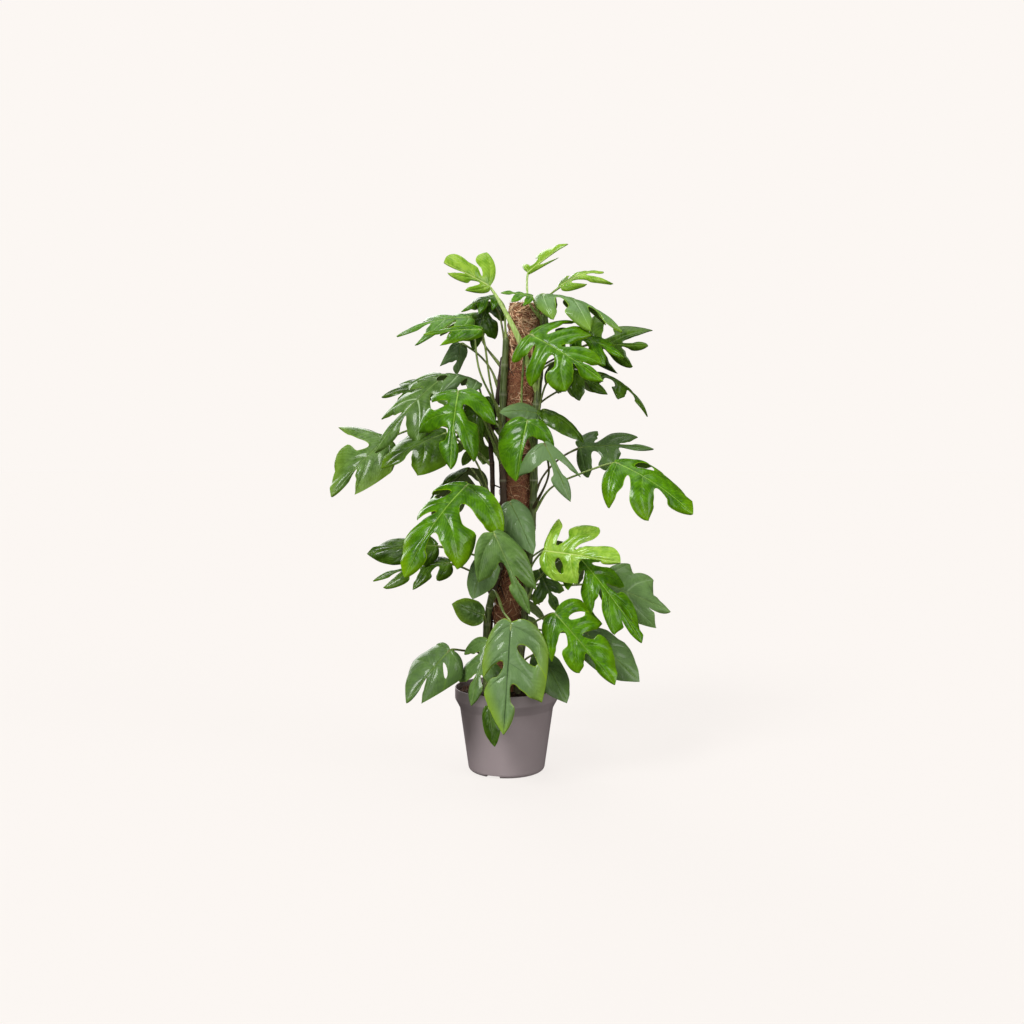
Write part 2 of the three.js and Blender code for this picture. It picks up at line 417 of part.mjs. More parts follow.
// Flat points, as [along, across] shares of the length, and triangles of one face of a blade.
function flatBlade(sides) {
  const points = [];
  const triangles = [];
  const add = (p) => points.push(p) - 1;
  const most = Math.max(...sides.map(({ lobes }) => lobes.length));
  const lastRoot = 0.8 - 0.3 / most;
  const rootOf = (j, n) => mix(FIRST_ROOT, lastRoot, j / n);
  const splitAt = (j, n) => (j ? (rootOf(j - 1, n) + rootOf(j, n)) / 2 : 0);
  const ray = (lobes, j, a) => {
    const n = lobes.length;
    if (j < 0) return [-0.09 * a, 0.5 * lobes[0][1] * a];
    return j < n ? veinPoint(rootOf(j, n), lobes[j], a) : [mix(lastRoot, 1, a), 0];
  };
  const between = (lobes, j, a, share) => mixPoint(ray(lobes, j - 1, a), ray(lobes, j, a), share);
  const lastGaps = sides.map(({ lobes }) => between(lobes, lobes.length, LEVELS[0], 0.5)[0]);
  const crotch = CROTCH * Math.min(...lastGaps);
  const stations = new Map();
  const station = (x) => {
    const key = x.toFixed(4);
    if (!stations.has(key)) stations.set(key, { x, id: add([x, 0]) });
    return stations.get(key);
  };
  sides.forEach(({ lobes }) => lobes.forEach((_, j) => station(splitAt(j, lobes.length))));
  station(crotch);
  const spine = [...stations.values()].sort((a, b) => a.x - b.x);
  const tip = add([1, 0]);
  const edges = sides.map(({ lobes, gaps }, which) => {
    const sign = which ? -1 : 1;
    const n = lobes.length;
    const put = ([x, y]) => add([x, sign * y]);
    const putBetween = (j, a, share) => put(between(lobes, j, a, share));
    const face = (...corners) => {
      for (let i = 2; i < corners.length; i++) {
        const triangle = [corners[0], corners[i - 1], corners[i]];
        triangles.push(sign > 0 ? triangle : triangle.reverse());
      }
    };
    const basal = [HEEL.map(([a, width]) => putBetween(0, a, 1 - width))];
    const apical = [];
    for (let j = 1; j <= n; j++) {
      const [inner, outer] = GAPS[gaps[j - 1]];
      const whole = WHOLE_EDGE.includes(gaps[j - 1]);
      const atTip = j === n && !whole;
      const flared = atTip ? mix(inner[1], outer[1], TIP.flare) : outer[1];
      const widths = atTip ? TIP.widths : [1, 1, 1, SHOULDER.width];
      const owns = [0.5, inner[0], outer[0]];
      const nexts = [0.5, inner[1], flared, flared].map((next, k) => 1 - (1 - next) * widths[k]);
      const closed = owns.map((own, k) => Math.abs(own - nexts[k]) < SAME);
      apical[j - 1] = owns.map((own, k) => putBetween(j, LEVELS[k], own));
      basal[j] = owns.map((_, k) => (closed[k] ? apical[j - 1][k] : putBetween(j, LEVELS[k], nexts[k])));
      const shoulder = atTip ? LEVELS[3] : SHOULDER.level;
      basal[j].push(whole ? putBetween(j, WHOLE_LEVEL, 0.5) : putBetween(j, shoulder, nexts[3]));
    }
    const ends = lobes.map(([end, reach]) => put([end, reach]));
    for (let j = 0; j < n; j++) {
      const from = splitAt(j, n);
      const to = j + 1 < n ? splitAt(j + 1, n) : crotch;
      const middle = spine.filter(({ x }) => x > from - SAME && x < to + SAME).map(({ id }) => id);
      face(basal[j][0], ...middle, apical[j][0]);
      for (let k = 1; k < 3; k++) face(basal[j][k - 1], apical[j][k - 1], apical[j][k], basal[j][k]);
      face(apical[j][2], ends[j], basal[j][3], basal[j][2]);
      if (WHOLE_EDGE.includes(gaps[j])) face(ends[j], apical[j][2], basal[j + 1][3]);
    }
    return basal[n];
  });
  const [left, right] = edges;
  triangles.push([spine.at(-1).id, right[0], left[0]]);
  for (let k = 1; k < LEVELS.length; k++) {
    triangles.push([left[k - 1], right[k - 1], right[k]], [left[k - 1], right[k], left[k]]);
  }
  triangles.push([left.at(-1), right.at(-1), tip]);
  return { points, triangles };
}

// Where a flat point of the leaf lies once the blade is curled along its midrib and cupped across.
function bladeFrame({ base, tip, facing, curl, cup }) {
  const from = vec(base);
  const chord = vec(tip).sub(from);
  const e1 = chord.clone().normalize();
  const e3 = vec(facing).addScaledVector(e1, -vec(facing).dot(e1)).normalize();
  const e2 = e3.clone().cross(e1);
  const turn = radians(curl);
  const length = (chord.length() * turn) / (2 * Math.sin(turn / 2));
  const bend = length / turn;
  const halfWidth = 0.42 * length;
  const roll = radians(cup);
  return (x, y, lift = 0) => {
    const pitch = turn * (0.5 - x);
    const beta = (roll * y * length) / halfWidth;
    const along = bend * (Math.sin(turn / 2) - Math.sin(pitch));
    const rise = bend * (Math.cos(pitch) - Math.cos(turn / 2));
    const up = e3.clone().multiplyScalar(Math.cos(pitch)).addScaledVector(e1, -Math.sin(pitch));
    const normal = up.clone().multiplyScalar(Math.cos(beta)).addScaledVector(e2, Math.sin(beta));
    return from.clone().addScaledVector(e1, along).addScaledVector(e3, rise)
      .addScaledVector(e2, (halfWidth / roll) * Math.sin(beta))
      .addScaledVector(up, -(halfWidth / roll) * (1 - Math.cos(beta)))
      .addScaledVector(normal, lift);
  };
}

function makeBlade(leaf) {
  const { points, triangles } = flatBlade(leaf.sides);
  const place = bladeFrame(leaf);
  const corners = [0.5, -0.5].map((side) => points.map(([x, y]) => place(x, y, side * BLADE_THICKNESS)));
  const count = points.length;
  const faces = [];
  const edges = new Set(triangles.flatMap(([a, b, c]) => [`${a},${b}`, `${b},${c}`, `${c},${a}`]));
  for (const [a, b, c] of triangles) {
    faces.push(a, b, c, count + c, count + b, count + a);
  }
  for (const edge of edges) {
    const [a, b] = edge.split(',').map(Number);
    if (edges.has(`${b},${a}`)) continue;
    faces.push(b, a, count + a, b, count + a, count + b);
  }
  const geometry = new THREE.BufferGeometry().setFromPoints(corners.flat());
  geometry.setIndex(faces);
  return solid(geometry);
}

// The leaf stalk: from the middle of its stem, up and out, to the blade and a little way under it.
function makePetiole(leaf) {
  const root = stemAtHeight(leaf.stem, leaf.node);
  const end = vec(leaf.base);
  const place = bladeFrame(leaf);
  const under = 0.2 - PETIOLE.radius;
  const points = [root];
  if (leaf.via.length) {
    points.push(...leaf.via.map(vec));
  } else {
    const span = end.clone().sub(root);
    const out = new THREE.Vector3(span.x, span.y, 0).normalize();
    const rise = 0.35 * span.length();
    const one = root.clone().addScaledVector(out, 0.2 * rise).add(new THREE.Vector3(0, 0, rise));
    const two = end.clone().addScaledVector(out, -0.8 * rise).add(new THREE.Vector3(0, 0, -0.3 * rise));
    const curve = new THREE.CubicBezierCurve3(root, one, two, end);
    points.push(curve.getPoint(0.33), curve.getPoint(0.67));
  }
  points.push(place(0.01, 0, under), place(0.1, 0, under));
  return solid(bar(points, PETIOLE.radius, PETIOLE.sides, PETIOLE.steps));
}

// ---- assembly ----------------------------------------------------------------------------------
const COLOURS = {
  pot: [0x746a70, 0.55],
  soil: [0x2b1c14, 0.95],
  coir: [0x8a5638, 0.95],
  core: [0xb08d5e, 0.7],
  stem: [0x4f6b35, 0.6],
  old_stem: [0x3c2f24, 0.8],
  young: [0xa6cf4e, 0.45],
  bright: [0x4f9a10, 0.35],
  mid: [0x5c8f4f, 0.45],
  dark: [0x3d6b34, 0.45],
};
const plant = new THREE.Group();

function put(name, manifold, colour) {
  const [color, roughness] = COLOURS[colour];
  const material = new THREE.MeshStandardMaterial({ color, roughness, metalness: 0 });
  const mesh = new THREE.Mesh(geometryOf(manifold.simplify(SLIVER)), material);
  mesh.name = name;
  plant.add(mesh);
}

const stemNames = Object.keys(STEMS);
const stemCuts = Object.fromEntries(stemNames.map((name) => [name, stemRoom(name)]));
const poleCut = poleRod(POLE.radius + GAP, -GAP, POLE_SEAT, 2 * POLE.sides);
put('pot', makePot(), 'pot');
put('soil', makeSoil([poleCut, ...Object.values(stemCuts)]), 'soil');
put('coir_sleeve', makeSleeve(), 'coir');
put('pole_core', poleRod(CORE.radius, 0, CORE.head - POLE.foot[2], CORE.sides), 'core');
for (const name of stemNames) put(`stem_${name}`, makeStem(name), name === 'dark' ? 'old_stem' : 'stem');
for (const leaf of LEAVES.map(readLeaf)) {
  put(`leaf_${leaf.name}`, makeBlade(leaf).add(makePetiole(leaf)).subtract(stemCuts[leaf.stem]), leaf.tone);
}

export default plant;
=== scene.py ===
"""The looks of a mini monstera (Rhaphidophora tetrasperma) on a coir pole, in a plastic nursery pot.

Metres, +Z up, and -Y is the plant's front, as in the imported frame. The tables of stems and leaves
repeat those of the part's source, in millimetres.
"""

from math import cos, pi, radians, sin, sqrt

import bpy
import numpy as np
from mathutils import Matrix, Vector


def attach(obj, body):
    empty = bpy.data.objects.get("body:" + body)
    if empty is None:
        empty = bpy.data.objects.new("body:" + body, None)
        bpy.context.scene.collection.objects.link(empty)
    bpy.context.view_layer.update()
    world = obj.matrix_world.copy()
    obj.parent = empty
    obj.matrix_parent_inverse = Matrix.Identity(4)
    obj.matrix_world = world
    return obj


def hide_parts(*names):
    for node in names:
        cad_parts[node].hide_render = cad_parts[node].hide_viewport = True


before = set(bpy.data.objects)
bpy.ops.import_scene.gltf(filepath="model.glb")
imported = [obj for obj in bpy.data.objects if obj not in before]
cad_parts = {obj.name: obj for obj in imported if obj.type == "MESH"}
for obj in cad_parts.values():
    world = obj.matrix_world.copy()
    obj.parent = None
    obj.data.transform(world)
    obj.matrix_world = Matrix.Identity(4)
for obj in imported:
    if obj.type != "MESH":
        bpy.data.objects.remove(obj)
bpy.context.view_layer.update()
scene = bpy.context.scene
random = np.random.default_rng(7)

# ---- driving dimensions ----------------------------------------------------------------------------
MM = 0.001
POT = {"foot": 73, "neck": 86, "rim": 95, "height": 154, "wall": 1.8, "floor": 2.5}
POT_ROUND = 9
POT_FOOT = 25
POT_LEDGE = 117
POT_BAND = 134
POT_SIDES = 144
CHANNEL = {"count": 3, "first": 248, "width": 28, "height": 5, "inner": 26}
DRAIN = {"radius": 5.5, "at": 46, "sides": 40}
SOIL_TOP = 143
SOIL_BOTTOM = 8.2
SOIL_MOUND = 4
SOIL_GAP = 0.35
POLE_FOOT = np.array([-9.0, 4.0, 12.0])
POLE_TOP = np.array([36.0, 10.0, 852.0])
POLE_RADIUS = 28
CORE_RADIUS = 9
BLADE_THICKNESS = 0.6
STALK_RADIUS = 1.9

# Each stem: radius, then its way up the pole as [height, compass angle about the pole, stand-off].
STEMS = {
    "left": (6.5, [[70, 190, 36], [150, 196, 38], [280, 196, 42], [335, 214, 39], [375, 230, 37],
                   [440, 240, 36.5], [520, 228, 36.5], [600, 212, 36.5], [700, 204, 36.5], [795, 206, 37]]),
    "right": (7, [[70, 300, 37.5], [150, 304, 37.5], [300, 318, 37.5], [400, 324, 37.5], [500, 328, 37.5],
                  [600, 318, 37.5], [700, 322, 37.5], [790, 330, 37.5], [835, 332, 38]]),
    "dark": (4.5, [[70, 152, 36], [150, 150, 37], [300, 158, 38], [430, 170, 40], [550, 180, 46],
                   [610, 184, 52], [680, 186, 44], [760, 180, 38]]),
    "back": (6.5, [[70, 70, 36.5], [150, 72, 36.5], [330, 88, 36.5], [520, 76, 36.5], [700, 92, 36.5],
                   [800, 84, 37]]),
}

# The gap after a lobe: at two levels along it, how far its own edge and the next lobe's edge stand
# from its vein, as shares of the way to the next vein. Equal shares close the gap there.
GAPS = {
    "o": [[0.33, 0.7], [0.24, 0.46]],  # open
    "w": [[0.22, 0.82], [0.12, 0.62]],  # wide open
    "v": [[0.4, 0.62], [0.2, 0.58]],  # narrow at the midrib and wide at the margin
    "s": [[0.42, 0.58], [0.32, 0.44]],  # a slit
    "t": [[0.5, 0.5], [0.36, 0.54]],  # cut only in its outer half
    "y": [[0.42, 0.6], [0.48, 0.84]],  # a gap after a lobe that widens to a blunt end
    "h": [[0.43, 0.57], [0.45, 0.45]],  # a narrow hole inside a whole margin
    "q": [[0.33, 0.67], [0.45, 0.45]],  # a round one
    "n": [[0.5, 0.5], [0.5, 0.5]],  # only a notch in the margin
    "e": [[0.5, 0.5], [0.5, 0.5]],  # no gap
}

# Leaf forms: each lobe's [end, reach] along and across the leaf as shares of its length, from the
# base to the tip, and the gap after each lobe.
FORMS = {
    "split3": ([[0.2, 0.42], [0.52, 0.44], [0.82, 0.28]], "vos"),
    "split2": ([[0.26, 0.44], [0.68, 0.38]], "vs"),
    "whole": ([[0.24, 0.32], [0.62, 0.27]], "ee"),
}

# One row a leaf: name, stem, height of its node, tone, curl along the midrib and cup across it in
# degrees, middle of the blade's base, blade tip, the way its upper side faces, points that the stalk
# passes, and its form, or the lobes and gaps of its left side and then of its right side.
LEAVES = [
    ["top_left_young", "right", 690, "young", 15, 15, [-29, -35, 880], [-110, -60, 918], [0.1, -0.9, 0.3],
     [[20, -48, 790]], [[0.42, 0.3], [0.86, 0.14]], "os", [[0.26, 0.76], [0.9, 0.3]], "ye"],
    ["crown_right", "right", 770, "bright", 50, 55, [60, -30, 867], [205, -60, 796], [0.3, -0.3, 0.9],
     [[72, -32, 815]], [[0.1, 0.38], [0.42, 0.35], [0.8, 0.2]], "ooo", [[0.28, 0.42], [0.76, 0.34]], "oo"],
    ["front_top", "right", 590, "bright", 25, 25, [40, -90, 789], [165, -140, 704], [0, -0.9, 0.4],
     [[28, -44, 655]], [[0.2, 0.6], [0.53, 0.44], [0.86, 0.18]], "vvs",
     [[0.02, 0.36], [0.36, 0.5], [0.74, 0.33]], "vos"],
    ["right_top_dark", "back", 690, "dark", 10, 20, [154, 30, 785], [263, 40, 782], [0, -0.95, 0.2],
     [], [[0.12, 0.6], [1.12, 0.34]], "oo", [[0.5, 0.5], [0.75, 0.36]], "vv"],
    ["left_far", "dark", 560, "mid", 20, 10, [-222, 20, 610], [-318, -20, 504], [-0.3, -0.9, 0.35],
     [[-120, 25, 635]], [[0.3, 0.36], [0.8, 0.2]], "ev", [[0.2, 0.74], [0.72, 0.24]], "oe"],
    ["left_top_edge", "left", 580, "dark", 50, 55, [-51, -45, 711], [-156, -85, 708], [0, -0.35, 0.93],
     [[-36, -40, 650]], [[0.2, 0.36], [0.8, 0.42]], "vo", [[0.1, 0.4], [0.6, 0.38]], "vo"],
    ["left_bright", "left", 560, "bright", 40, 40, [-81, -125, 690], [-92, -190, 555], [-0.1, -0.8, 0.6],
     [[-50, -75, 660]], [[0.34, 0.5], [0.9, 0.26]], "os", [[-0.02, 0.38], [0.42, 0.6]], "oo"],
    ["centre_bright", "right", 540, "bright", 40, 30, [37, -112, 640], [17, -138, 534], [-0.1, -0.85, 0.5],
     [], [[0.34, 0.52]], "w", [[0.3, 0.42], [0.7, 0.32]], "ee"],
    ["centre_blue", "right", 480, "dark", 20, 30, [64, -152, 600], [108, -178, 501], [0.1, -0.85, 0.5],
     [[74, -98, 548]], [[0.69, 0.37]], "o", [[0.28, 0.62]], "o"],
    ["right_back_dark", "right", 500, "dark", 30, 30, [131, 0, 593], [271, 10, 591], [0.1, -0.8, 0.55],
     [], [[0.28, 0.36], [0.82, 0.22]], "vo", [[0.1, 0.42], [0.5, 0.32]], "ov"],
    ["right_far", "right", 470, "bright", 30, 40, [192, -60, 567], [326, -95, 476], [0.1, -0.65, 0.75],
     [], [[0.3, 0.42], [0.7, 0.4]], "qe", [[0.22, 0.52], [0.68, 0.4]], "vo"],
    ["mid_left_bright", "left", 440, "bright", 40, 40, [-65, -120, 530], [-169, -190, 375],
     [-0.25, -0.75, 0.6], [], [[0.22, 0.55], [0.74, 0.38]], "oo",
     [[0.12, 0.42], [0.43, 0.29], [0.7, 0.25]], "oye"],
    ["mid_left_behind", "dark", 360, "dark", 40, 30, [-125, -30, 416], [-251, -40, 402], [-0.1, -0.85, 0.5],
     [], [[0.2, 0.3], [0.72, 0.21]], "oe", [[0.2, 0.28], [0.68, 0.2]], "ve"],
    ["mid_left_low", "dark", 320, "dark", 30, 40, [-102, -30, 385], [-240, -45, 354], [-0.1, -0.5, 0.85],
     [], [[0.2, 0.25], [0.54, 0.32], [0.9, 0.16]], "ooo", [[0.2, 0.4], [0.6, 0.36]], "oo"],
    ["mid_centre", "left", 400, "mid", 20, 20, [-21, -171, 450], [40, -198, 314], [0, -0.95, 0.3],
     [], [[0.35, 0.25], [0.78, 0.19]], "es", [[0.44, 0.39]], "o"],
    ["right_low_lime", "right", 345, "young", 20, 15, [66, -90, 412], [195, -145, 396], [0, -0.95, 0.3],
     [], [[0.04, 0.48], [0.62, 0.42], [0.87, 0.19]], "oye", [[0.22, 0.35], [0.52, 0.34]], "qw"],
    ["right_low_gloss", "right", 305, "bright", 20, 30, [122, -90, 407], [235, -120, 254], [0.2, -0.7, 0.65],
     [], [[0.2, 0.34], [0.5, 0.28], [0.84, 0.14]], "voq",
     [[0.22, 0.28], [0.52, 0.23], [0.8, 0.18]], "vvn"],
    ["right_low_dull", "back", 300, "mid", 20, 20, [176, -20, 347], [298, -30, 296], [0.15, -0.9, 0.4],
     [], [[0.25, 0.5], [0.64, 0.37]], "nn", [[0.35, 0.35], [0.91, 0.29]], "en"],
    ["right_low_bright", "right", 230, "bright", 20, 30, [83, -130, 308], [184, -170, 191], [0, -0.85, 0.5],
     [], [[0.07, 0.38], [0.4, 0.41], [0.74, 0.25]], "qoe", [[0.38, 0.38], [0.67, 0.22]], "oo"],
    ["bottom_centre", "left", 320, "mid", 20, 20, [8, -150, 295], [-4, -200, 113], [0, -0.9, 0.42],
     [], [[0.27, 0.38], [0.7, 0.34]], "qo", [[0.28, 0.23], [0.5, 0.22], [0.66, 0.2]], "ewe"],
    ["bottom_small", "left", 165, "dark", 20, 30, [-30, -150, 150], [-19, -165, 84], [0, -0.95, 0.3],
     [[-38, -90, 215]], [[0.3, 0.22], [0.65, 0.2]], "ee", [[0.3, 0.22], [0.65, 0.2]], "ee"],
    ["bottom_left", "left", 190, "dark", 20, 40, [-97, -120, 243], [-170, -160, 158], [-0.25, -0.85, 0.45],
     [], [[0.21, 0.44], [0.88, 0.18]], "hs", [[0.03, 0.3], [0.42, 0.5]], "ee"],
    ["top_right_young", "right", 820, "young", 15, 20, [38, -10, 909], [110, -30, 956], [-0.3, -0.8, 0.5],
     [[42, -26, 850], [37, -14, 885]], [[-0.05, 0.42], [0.48, 0.34]], "we", [[0.7, 0.14]], "w"],
    ["crown_right_back", "back", 780, "young", 40, 20, [98, 10, 888], [181, 60, 922], [0, -0.6, 0.8],
     [], [[0.35, 0.24], [0.75, 0.2]], "sn", [[0.4, 0.26], [1.0, 0.34]], "wo"],
    ["right_top_mid", "right", 660, "bright", 40, 40, [88, -45, 796], [209, -50, 752], [0.1, -0.6, 0.75],
     [], "split3"],
    ["right_top_low", "back", 620, "dark", 60, 30, [168, 20, 729], [259, 10, 650], [0.5, -0.4, 0.75],
     [], [[0.2, 0.16], [0.6, 0.14]], "ee", [[0.1, 0.18], [0.5, 0.36]], "wo"],
    ["right_top_under", "right", 620, "dark", 30, 40, [96, -40, 735], [178, -75, 686], [0.1, -0.75, 0.6],
     [], "split2"],
    ["crown_left", "left", 650, "bright", 35, 35, [-63, -20, 827], [-195, -50, 790], [-0.1, -0.6, 0.8],
     [[-48, -22, 730]], [[0.35, 0.32], [0.85, 0.26]], "vv", [[0.12, 0.32], [0.55, 0.34]], "vs"],
    ["crown_left_front", "left", 625, "bright", 20, 30, [-43, -96, 796], [-141, -130, 784],
     [-0.1, -0.85, 0.5], [[-27, -64, 700]], [[0.35, 0.2], [0.78, 0.24]], "ev",
     [[0.3, 0.12], [0.65, 0.09]], "ee"],
    ["crown_left_dark", "left", 770, "dark", 20, 30, [-32, 12, 860], [-62, 10, 770], [-0.1, -0.9, 0.4],
     [], [[0.25, 0.42], [0.66, 0.36]], "ss", [[0.25, 0.5], [0.66, 0.42]], "vs"],
    ["crown_left_arch", "left", 785, "bright", 40, 40, [-17, -8, 866], [-82, -12, 838], [-0.2, -0.6, 0.75],
     [], [[0.25, 0.4], [0.64, 0.36]], "vv", [[0.25, 0.4], [0.64, 0.36]], "vs"],
    ["back_left_grey", "dark", 700, "mid", 20, 20, [-85, 30, 786], [-92, 40, 729], [0.1, -0.9, 0.3],
     [], [[0.25, 0.26], [0.55, 0.18]], "ee", [[0.2, 0.36], [0.84, 0.62]], "ev"],
    ["left_stripe", "dark", 600, "mid", 30, 25, [-116, 8, 722], [-238, -22, 584], [-0.35, -0.75, 0.5],
     [[-75, 28, 672]], [[0.22, 0.36], [0.7, 0.32]], "vs", [[0.25, 0.34], [0.7, 0.28]], "sv"],
    ["left_back_top", "dark", 620, "dark", 30, 30, [-130, 95, 713], [-240, 100, 691], [-0.2, -0.7, 0.65],
     [[-78, 52, 685]], [[0.3, 0.32], [0.78, 0.28]], "vt", [[0.25, 0.36], [0.7, 0.3]], "sn"],
    ["left_inner_dark", "dark", 640, "dark", 30, 30, [-40, -14, 685], [-76, -20, 588], [-0.2, -0.85, 0.45],
     [], [[0.25, 0.28], [0.68, 0.24]], "ts", [[0.25, 0.42], [0.68, 0.36]], "ns"],
    ["left_low_dark", "dark", 480, "dark", 30, 40, [-107, -30, 620], [-222, -60, 556], [0, -0.7, 0.7],
     [], [[0.26, 0.44], [0.66, 0.38]], "es", [[0.26, 0.42], [0.64, 0.36]], "ee"],
    ["centre_top_dark", "right", 575, "dark", 50, 40, [57, -66, 652], [-12, -98, 652], [0, -0.85, 0.5],
     [], "whole"],
    ["centre_top_right", "right", 590, "dark", 50, 50, [63, -60, 660], [136, -80, 600], [0.35, -0.5, 0.8],
     [], "whole"],
    ["mid_centre_grey", "right", 420, "dark", 20, 40, [6, -85, 498], [47, -105, 406], [0.1, -0.8, 0.6],
     [], "whole"],
    ["low_left_olive", "left", 260, "mid", 20, 25, [-41, -30, 290], [-98, -50, 313], [0, -0.9, 0.4],
     [], [[0.25, 0.42], [0.64, 0.36]], "ee", [[0.25, 0.38], [0.66, 0.32]], "ee"],
    ["right_low_dark", "back", 220, "dark", 20, 20, [140, -60, 264], [236, -80, 178], [0.2, -0.85, 0.45],
     [], "whole"],
    ["right_low_back", "right", 285, "dark", 20, 20, [58, -15, 371], [94, -17, 293], [0.1, -0.8, 0.5],
     [], "split2"],
    ["bottom_left_inner", "left", 200, "mid", 20, 30, [-30, -110, 258], [-60, -150, 151], [-0.3, -0.8, 0.5],
     [], "split2"],
    ["bottom_right", "right", 180, "dark", 20, 30, [59, -90, 233], [105, -125, 150], [0.3, -0.85, 0.4],
     [], "whole"],
    ["crown_middle", "right", 795, "bright", 20, 40, [46, -62, 858], [-10, -66, 864], [0, -0.55, 0.83],
     [[58, -52, 828]], "split2"],
    ["back_left_high", "dark", 740, "mid", 40, 40, [-50, 100, 850], [-120, 190, 805], [-0.3, 0.6, 0.7],
     [[-48, 65, 800]], "split3"],
    ["back_right_high", "back", 660, "dark", 30, 40, [90, 110, 760], [180, 180, 705], [0.3, 0.7, 0.6],
     [], "split3"],
    ["back_middle", "back", 520, "bright", 30, 40, [-30, 130, 650], [-90, 200, 560], [-0.1, 0.8, 0.55],
     [], "split3"],
    ["back_left_mid", "dark", 440, "dark", 30, 40, [-70, 100, 556], [-150, 180, 456], [-0.4, 0.6, 0.7],
     [], "split3"],
    ["back_right_mid", "back", 330, "mid", 30, 40, [90, 105, 410], [190, 165, 320], [0.4, 0.6, 0.7],
     [], "split3"],
    ["back_low", "back", 220, "mid", 30, 30, [15, 135, 320], [25, 205, 200], [0.1, 0.85, 0.5],
     [], "split3"],
    ["mid_centre_low", "left", 330, "mid", 20, 30, [-38, -100, 402], [-58, -120, 330], [-0.1, -0.9, 0.4],
     [], [[0.15, 0.45], [0.6, 0.4]], "ee", [[0.3, 0.28], [0.7, 0.24]], "ee"],
]

# What each leaf is given, from 0 to 1: a waxy blue-grey bloom, a lime tinge towards its lobes' ends,
# pale stripes beside its veins and dark veins. Part of it is painted light: the bloom and stripes of
# crown_right and left_top_edge are a painted sheen, and the bloom of back_left_grey and the bloom and
# lime of right_low_back lighten leaves that lie in shade.
BLOOM_AND_PAINTED_LIGHT = {"centre_blue": 0.85, "mid_centre": 0.12, "mid_centre_grey": 0.9, "right_low_dull": 0.45,
         "bottom_left": 0.4, "bottom_centre": 0.7, "centre_top_dark": 0.75, "right_back_dark": 0.4,
         "crown_right": 0.75, "back_left_grey": 0.9, "left_top_edge": 0.5, "crown_left": 0.25,
         "right_low_dark": 0.6, "bottom_right": 0.45, "bottom_left_inner": 0.2, "mid_centre_low": 0.7,
         "right_low_back": 0.2}
LIME_AND_PAINTED_LIGHT = {"crown_right": 0.8, "bottom_centre": 0.9, "mid_left_bright": 0.8, "left_far": 0.45, "right_far": 0.4,
        "crown_left_front": 0.6, "left_low_dark": 0.9, "right_low_bright": 0.3, "front_top": 0.25,
        "right_low_back": 1, "low_left_olive": 0.7, "mid_left_low": 0.5}
STRIPE_AND_SHEEN = {"left_stripe": 1, "left_top_edge": 0.7, "right_low_dull": 0.3, "crown_left": 0.3, "front_top": 0.15,
          "crown_right": 0.5, "left_back_top": 0.4}
DARK_RIB = {"bottom_centre": 1, "bottom_small": 0.5, "mid_centre_grey": 0.4, "right_low_bright": 0.3}
# Half the width of the leaf stalks that are winged at their foot, in millimetres.
SHEATH = {"top_left_young": 5.2, "bottom_centre": 7.5, "crown_right": 3.5}
LEAF_KEYS = ("name", "stem", "node", "tone", "curl", "cup", "base", "tip", "facing", "via")


# ---- small helpers ---------------------------------------------------------------------------------
def mix(a, b, t):
    """The value a share t of the way from a to b."""
    return a + (b - a) * t


def smooth(t):
    """0 below 0, 1 above 1, and an even S between them."""
    t = np.clip(t, 0, 1)
    return t * t * (3 - 2 * t)


def draw(seed, k):
    """A repeatable draw from 0 to 1 for the pair (seed, k)."""
    s = sin(seed * 127.1 + k * 311.7) * 43758.5453
    return s - np.floor(s)


def unit(v):
    """The vector or vectors of length 1 in the same directions."""
    v = np.asarray(v, float)
    return v / np.linalg.norm(v, axis=-1, keepdims=True)


def rgb(red, green, blue):
    """A colour given in 0 to 255 display values, as the linear colour that shaders take."""
    linear = [c / 255 / 12.92 if c < 11 else ((c / 255 + 0.055) / 1.055) ** 2.4 for c in (red, green, blue)]
    return (*linear, 1)


class Shape:
    """Collects the vertices, faces, face materials and vertex values of one piece."""

    def __init__(self):
        self.points, self.faces, self.slots, self.values, self.count = [], [], [], [], 0

    def add(self, points, faces, slot=0, values=None, caps=()):
        """Adds faces, which all have as many corners, and then caps, which may have another number."""
        points = np.asarray(points, float).reshape(-1, 3)
        self.points.append(points)
        for group in (faces, caps):
            self.faces.extend((np.array(group, int) + self.count).tolist())
            self.slots.extend([slot] * len(group))
        self.values.append(values or {})
        self.count += len(points)

    def attribute(self, name):
        """The vector attribute of that name, 0 at the points that were added without it."""
        parts = [values.get(name, np.zeros((len(points), 3)))
                 for points, values in zip(self.points, self.values)]
        return np.vstack(parts).astype(float)

    def build(self, name, materials, attributes=(), sharp=None):
        """The object. Its vector attributes are named, and edges over the angle sharp stay sharp."""
        mesh = bpy.data.meshes.new(name)
        mesh.from_pydata(np.vstack(self.points).tolist(), [], self.faces)
        for material in materials:
            mesh.materials.append(material)
        mesh.polygons.foreach_set("material_index", self.slots)
        mesh.polygons.foreach_set("use_smooth", [True] * len(self.faces))
        for key in attributes:
            made = mesh.attributes.new(key, "FLOAT_VECTOR", "POINT")
            made.data.foreach_set("vector", self.attribute(key).ravel())
        if sharp:
            mesh.set_sharp_from_angle(angle=radians(sharp))
        mesh.validate()
        piece = bpy.data.objects.new(name, mesh)
        scene.collection.objects.link(piece)
        return piece


def finish_piece(piece, slot, *nodes):
    """Hangs the piece on the root and hides the nodes that it stands for. Its slot is not used."""
    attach(piece, "root")
    if nodes:
        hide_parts(*nodes)


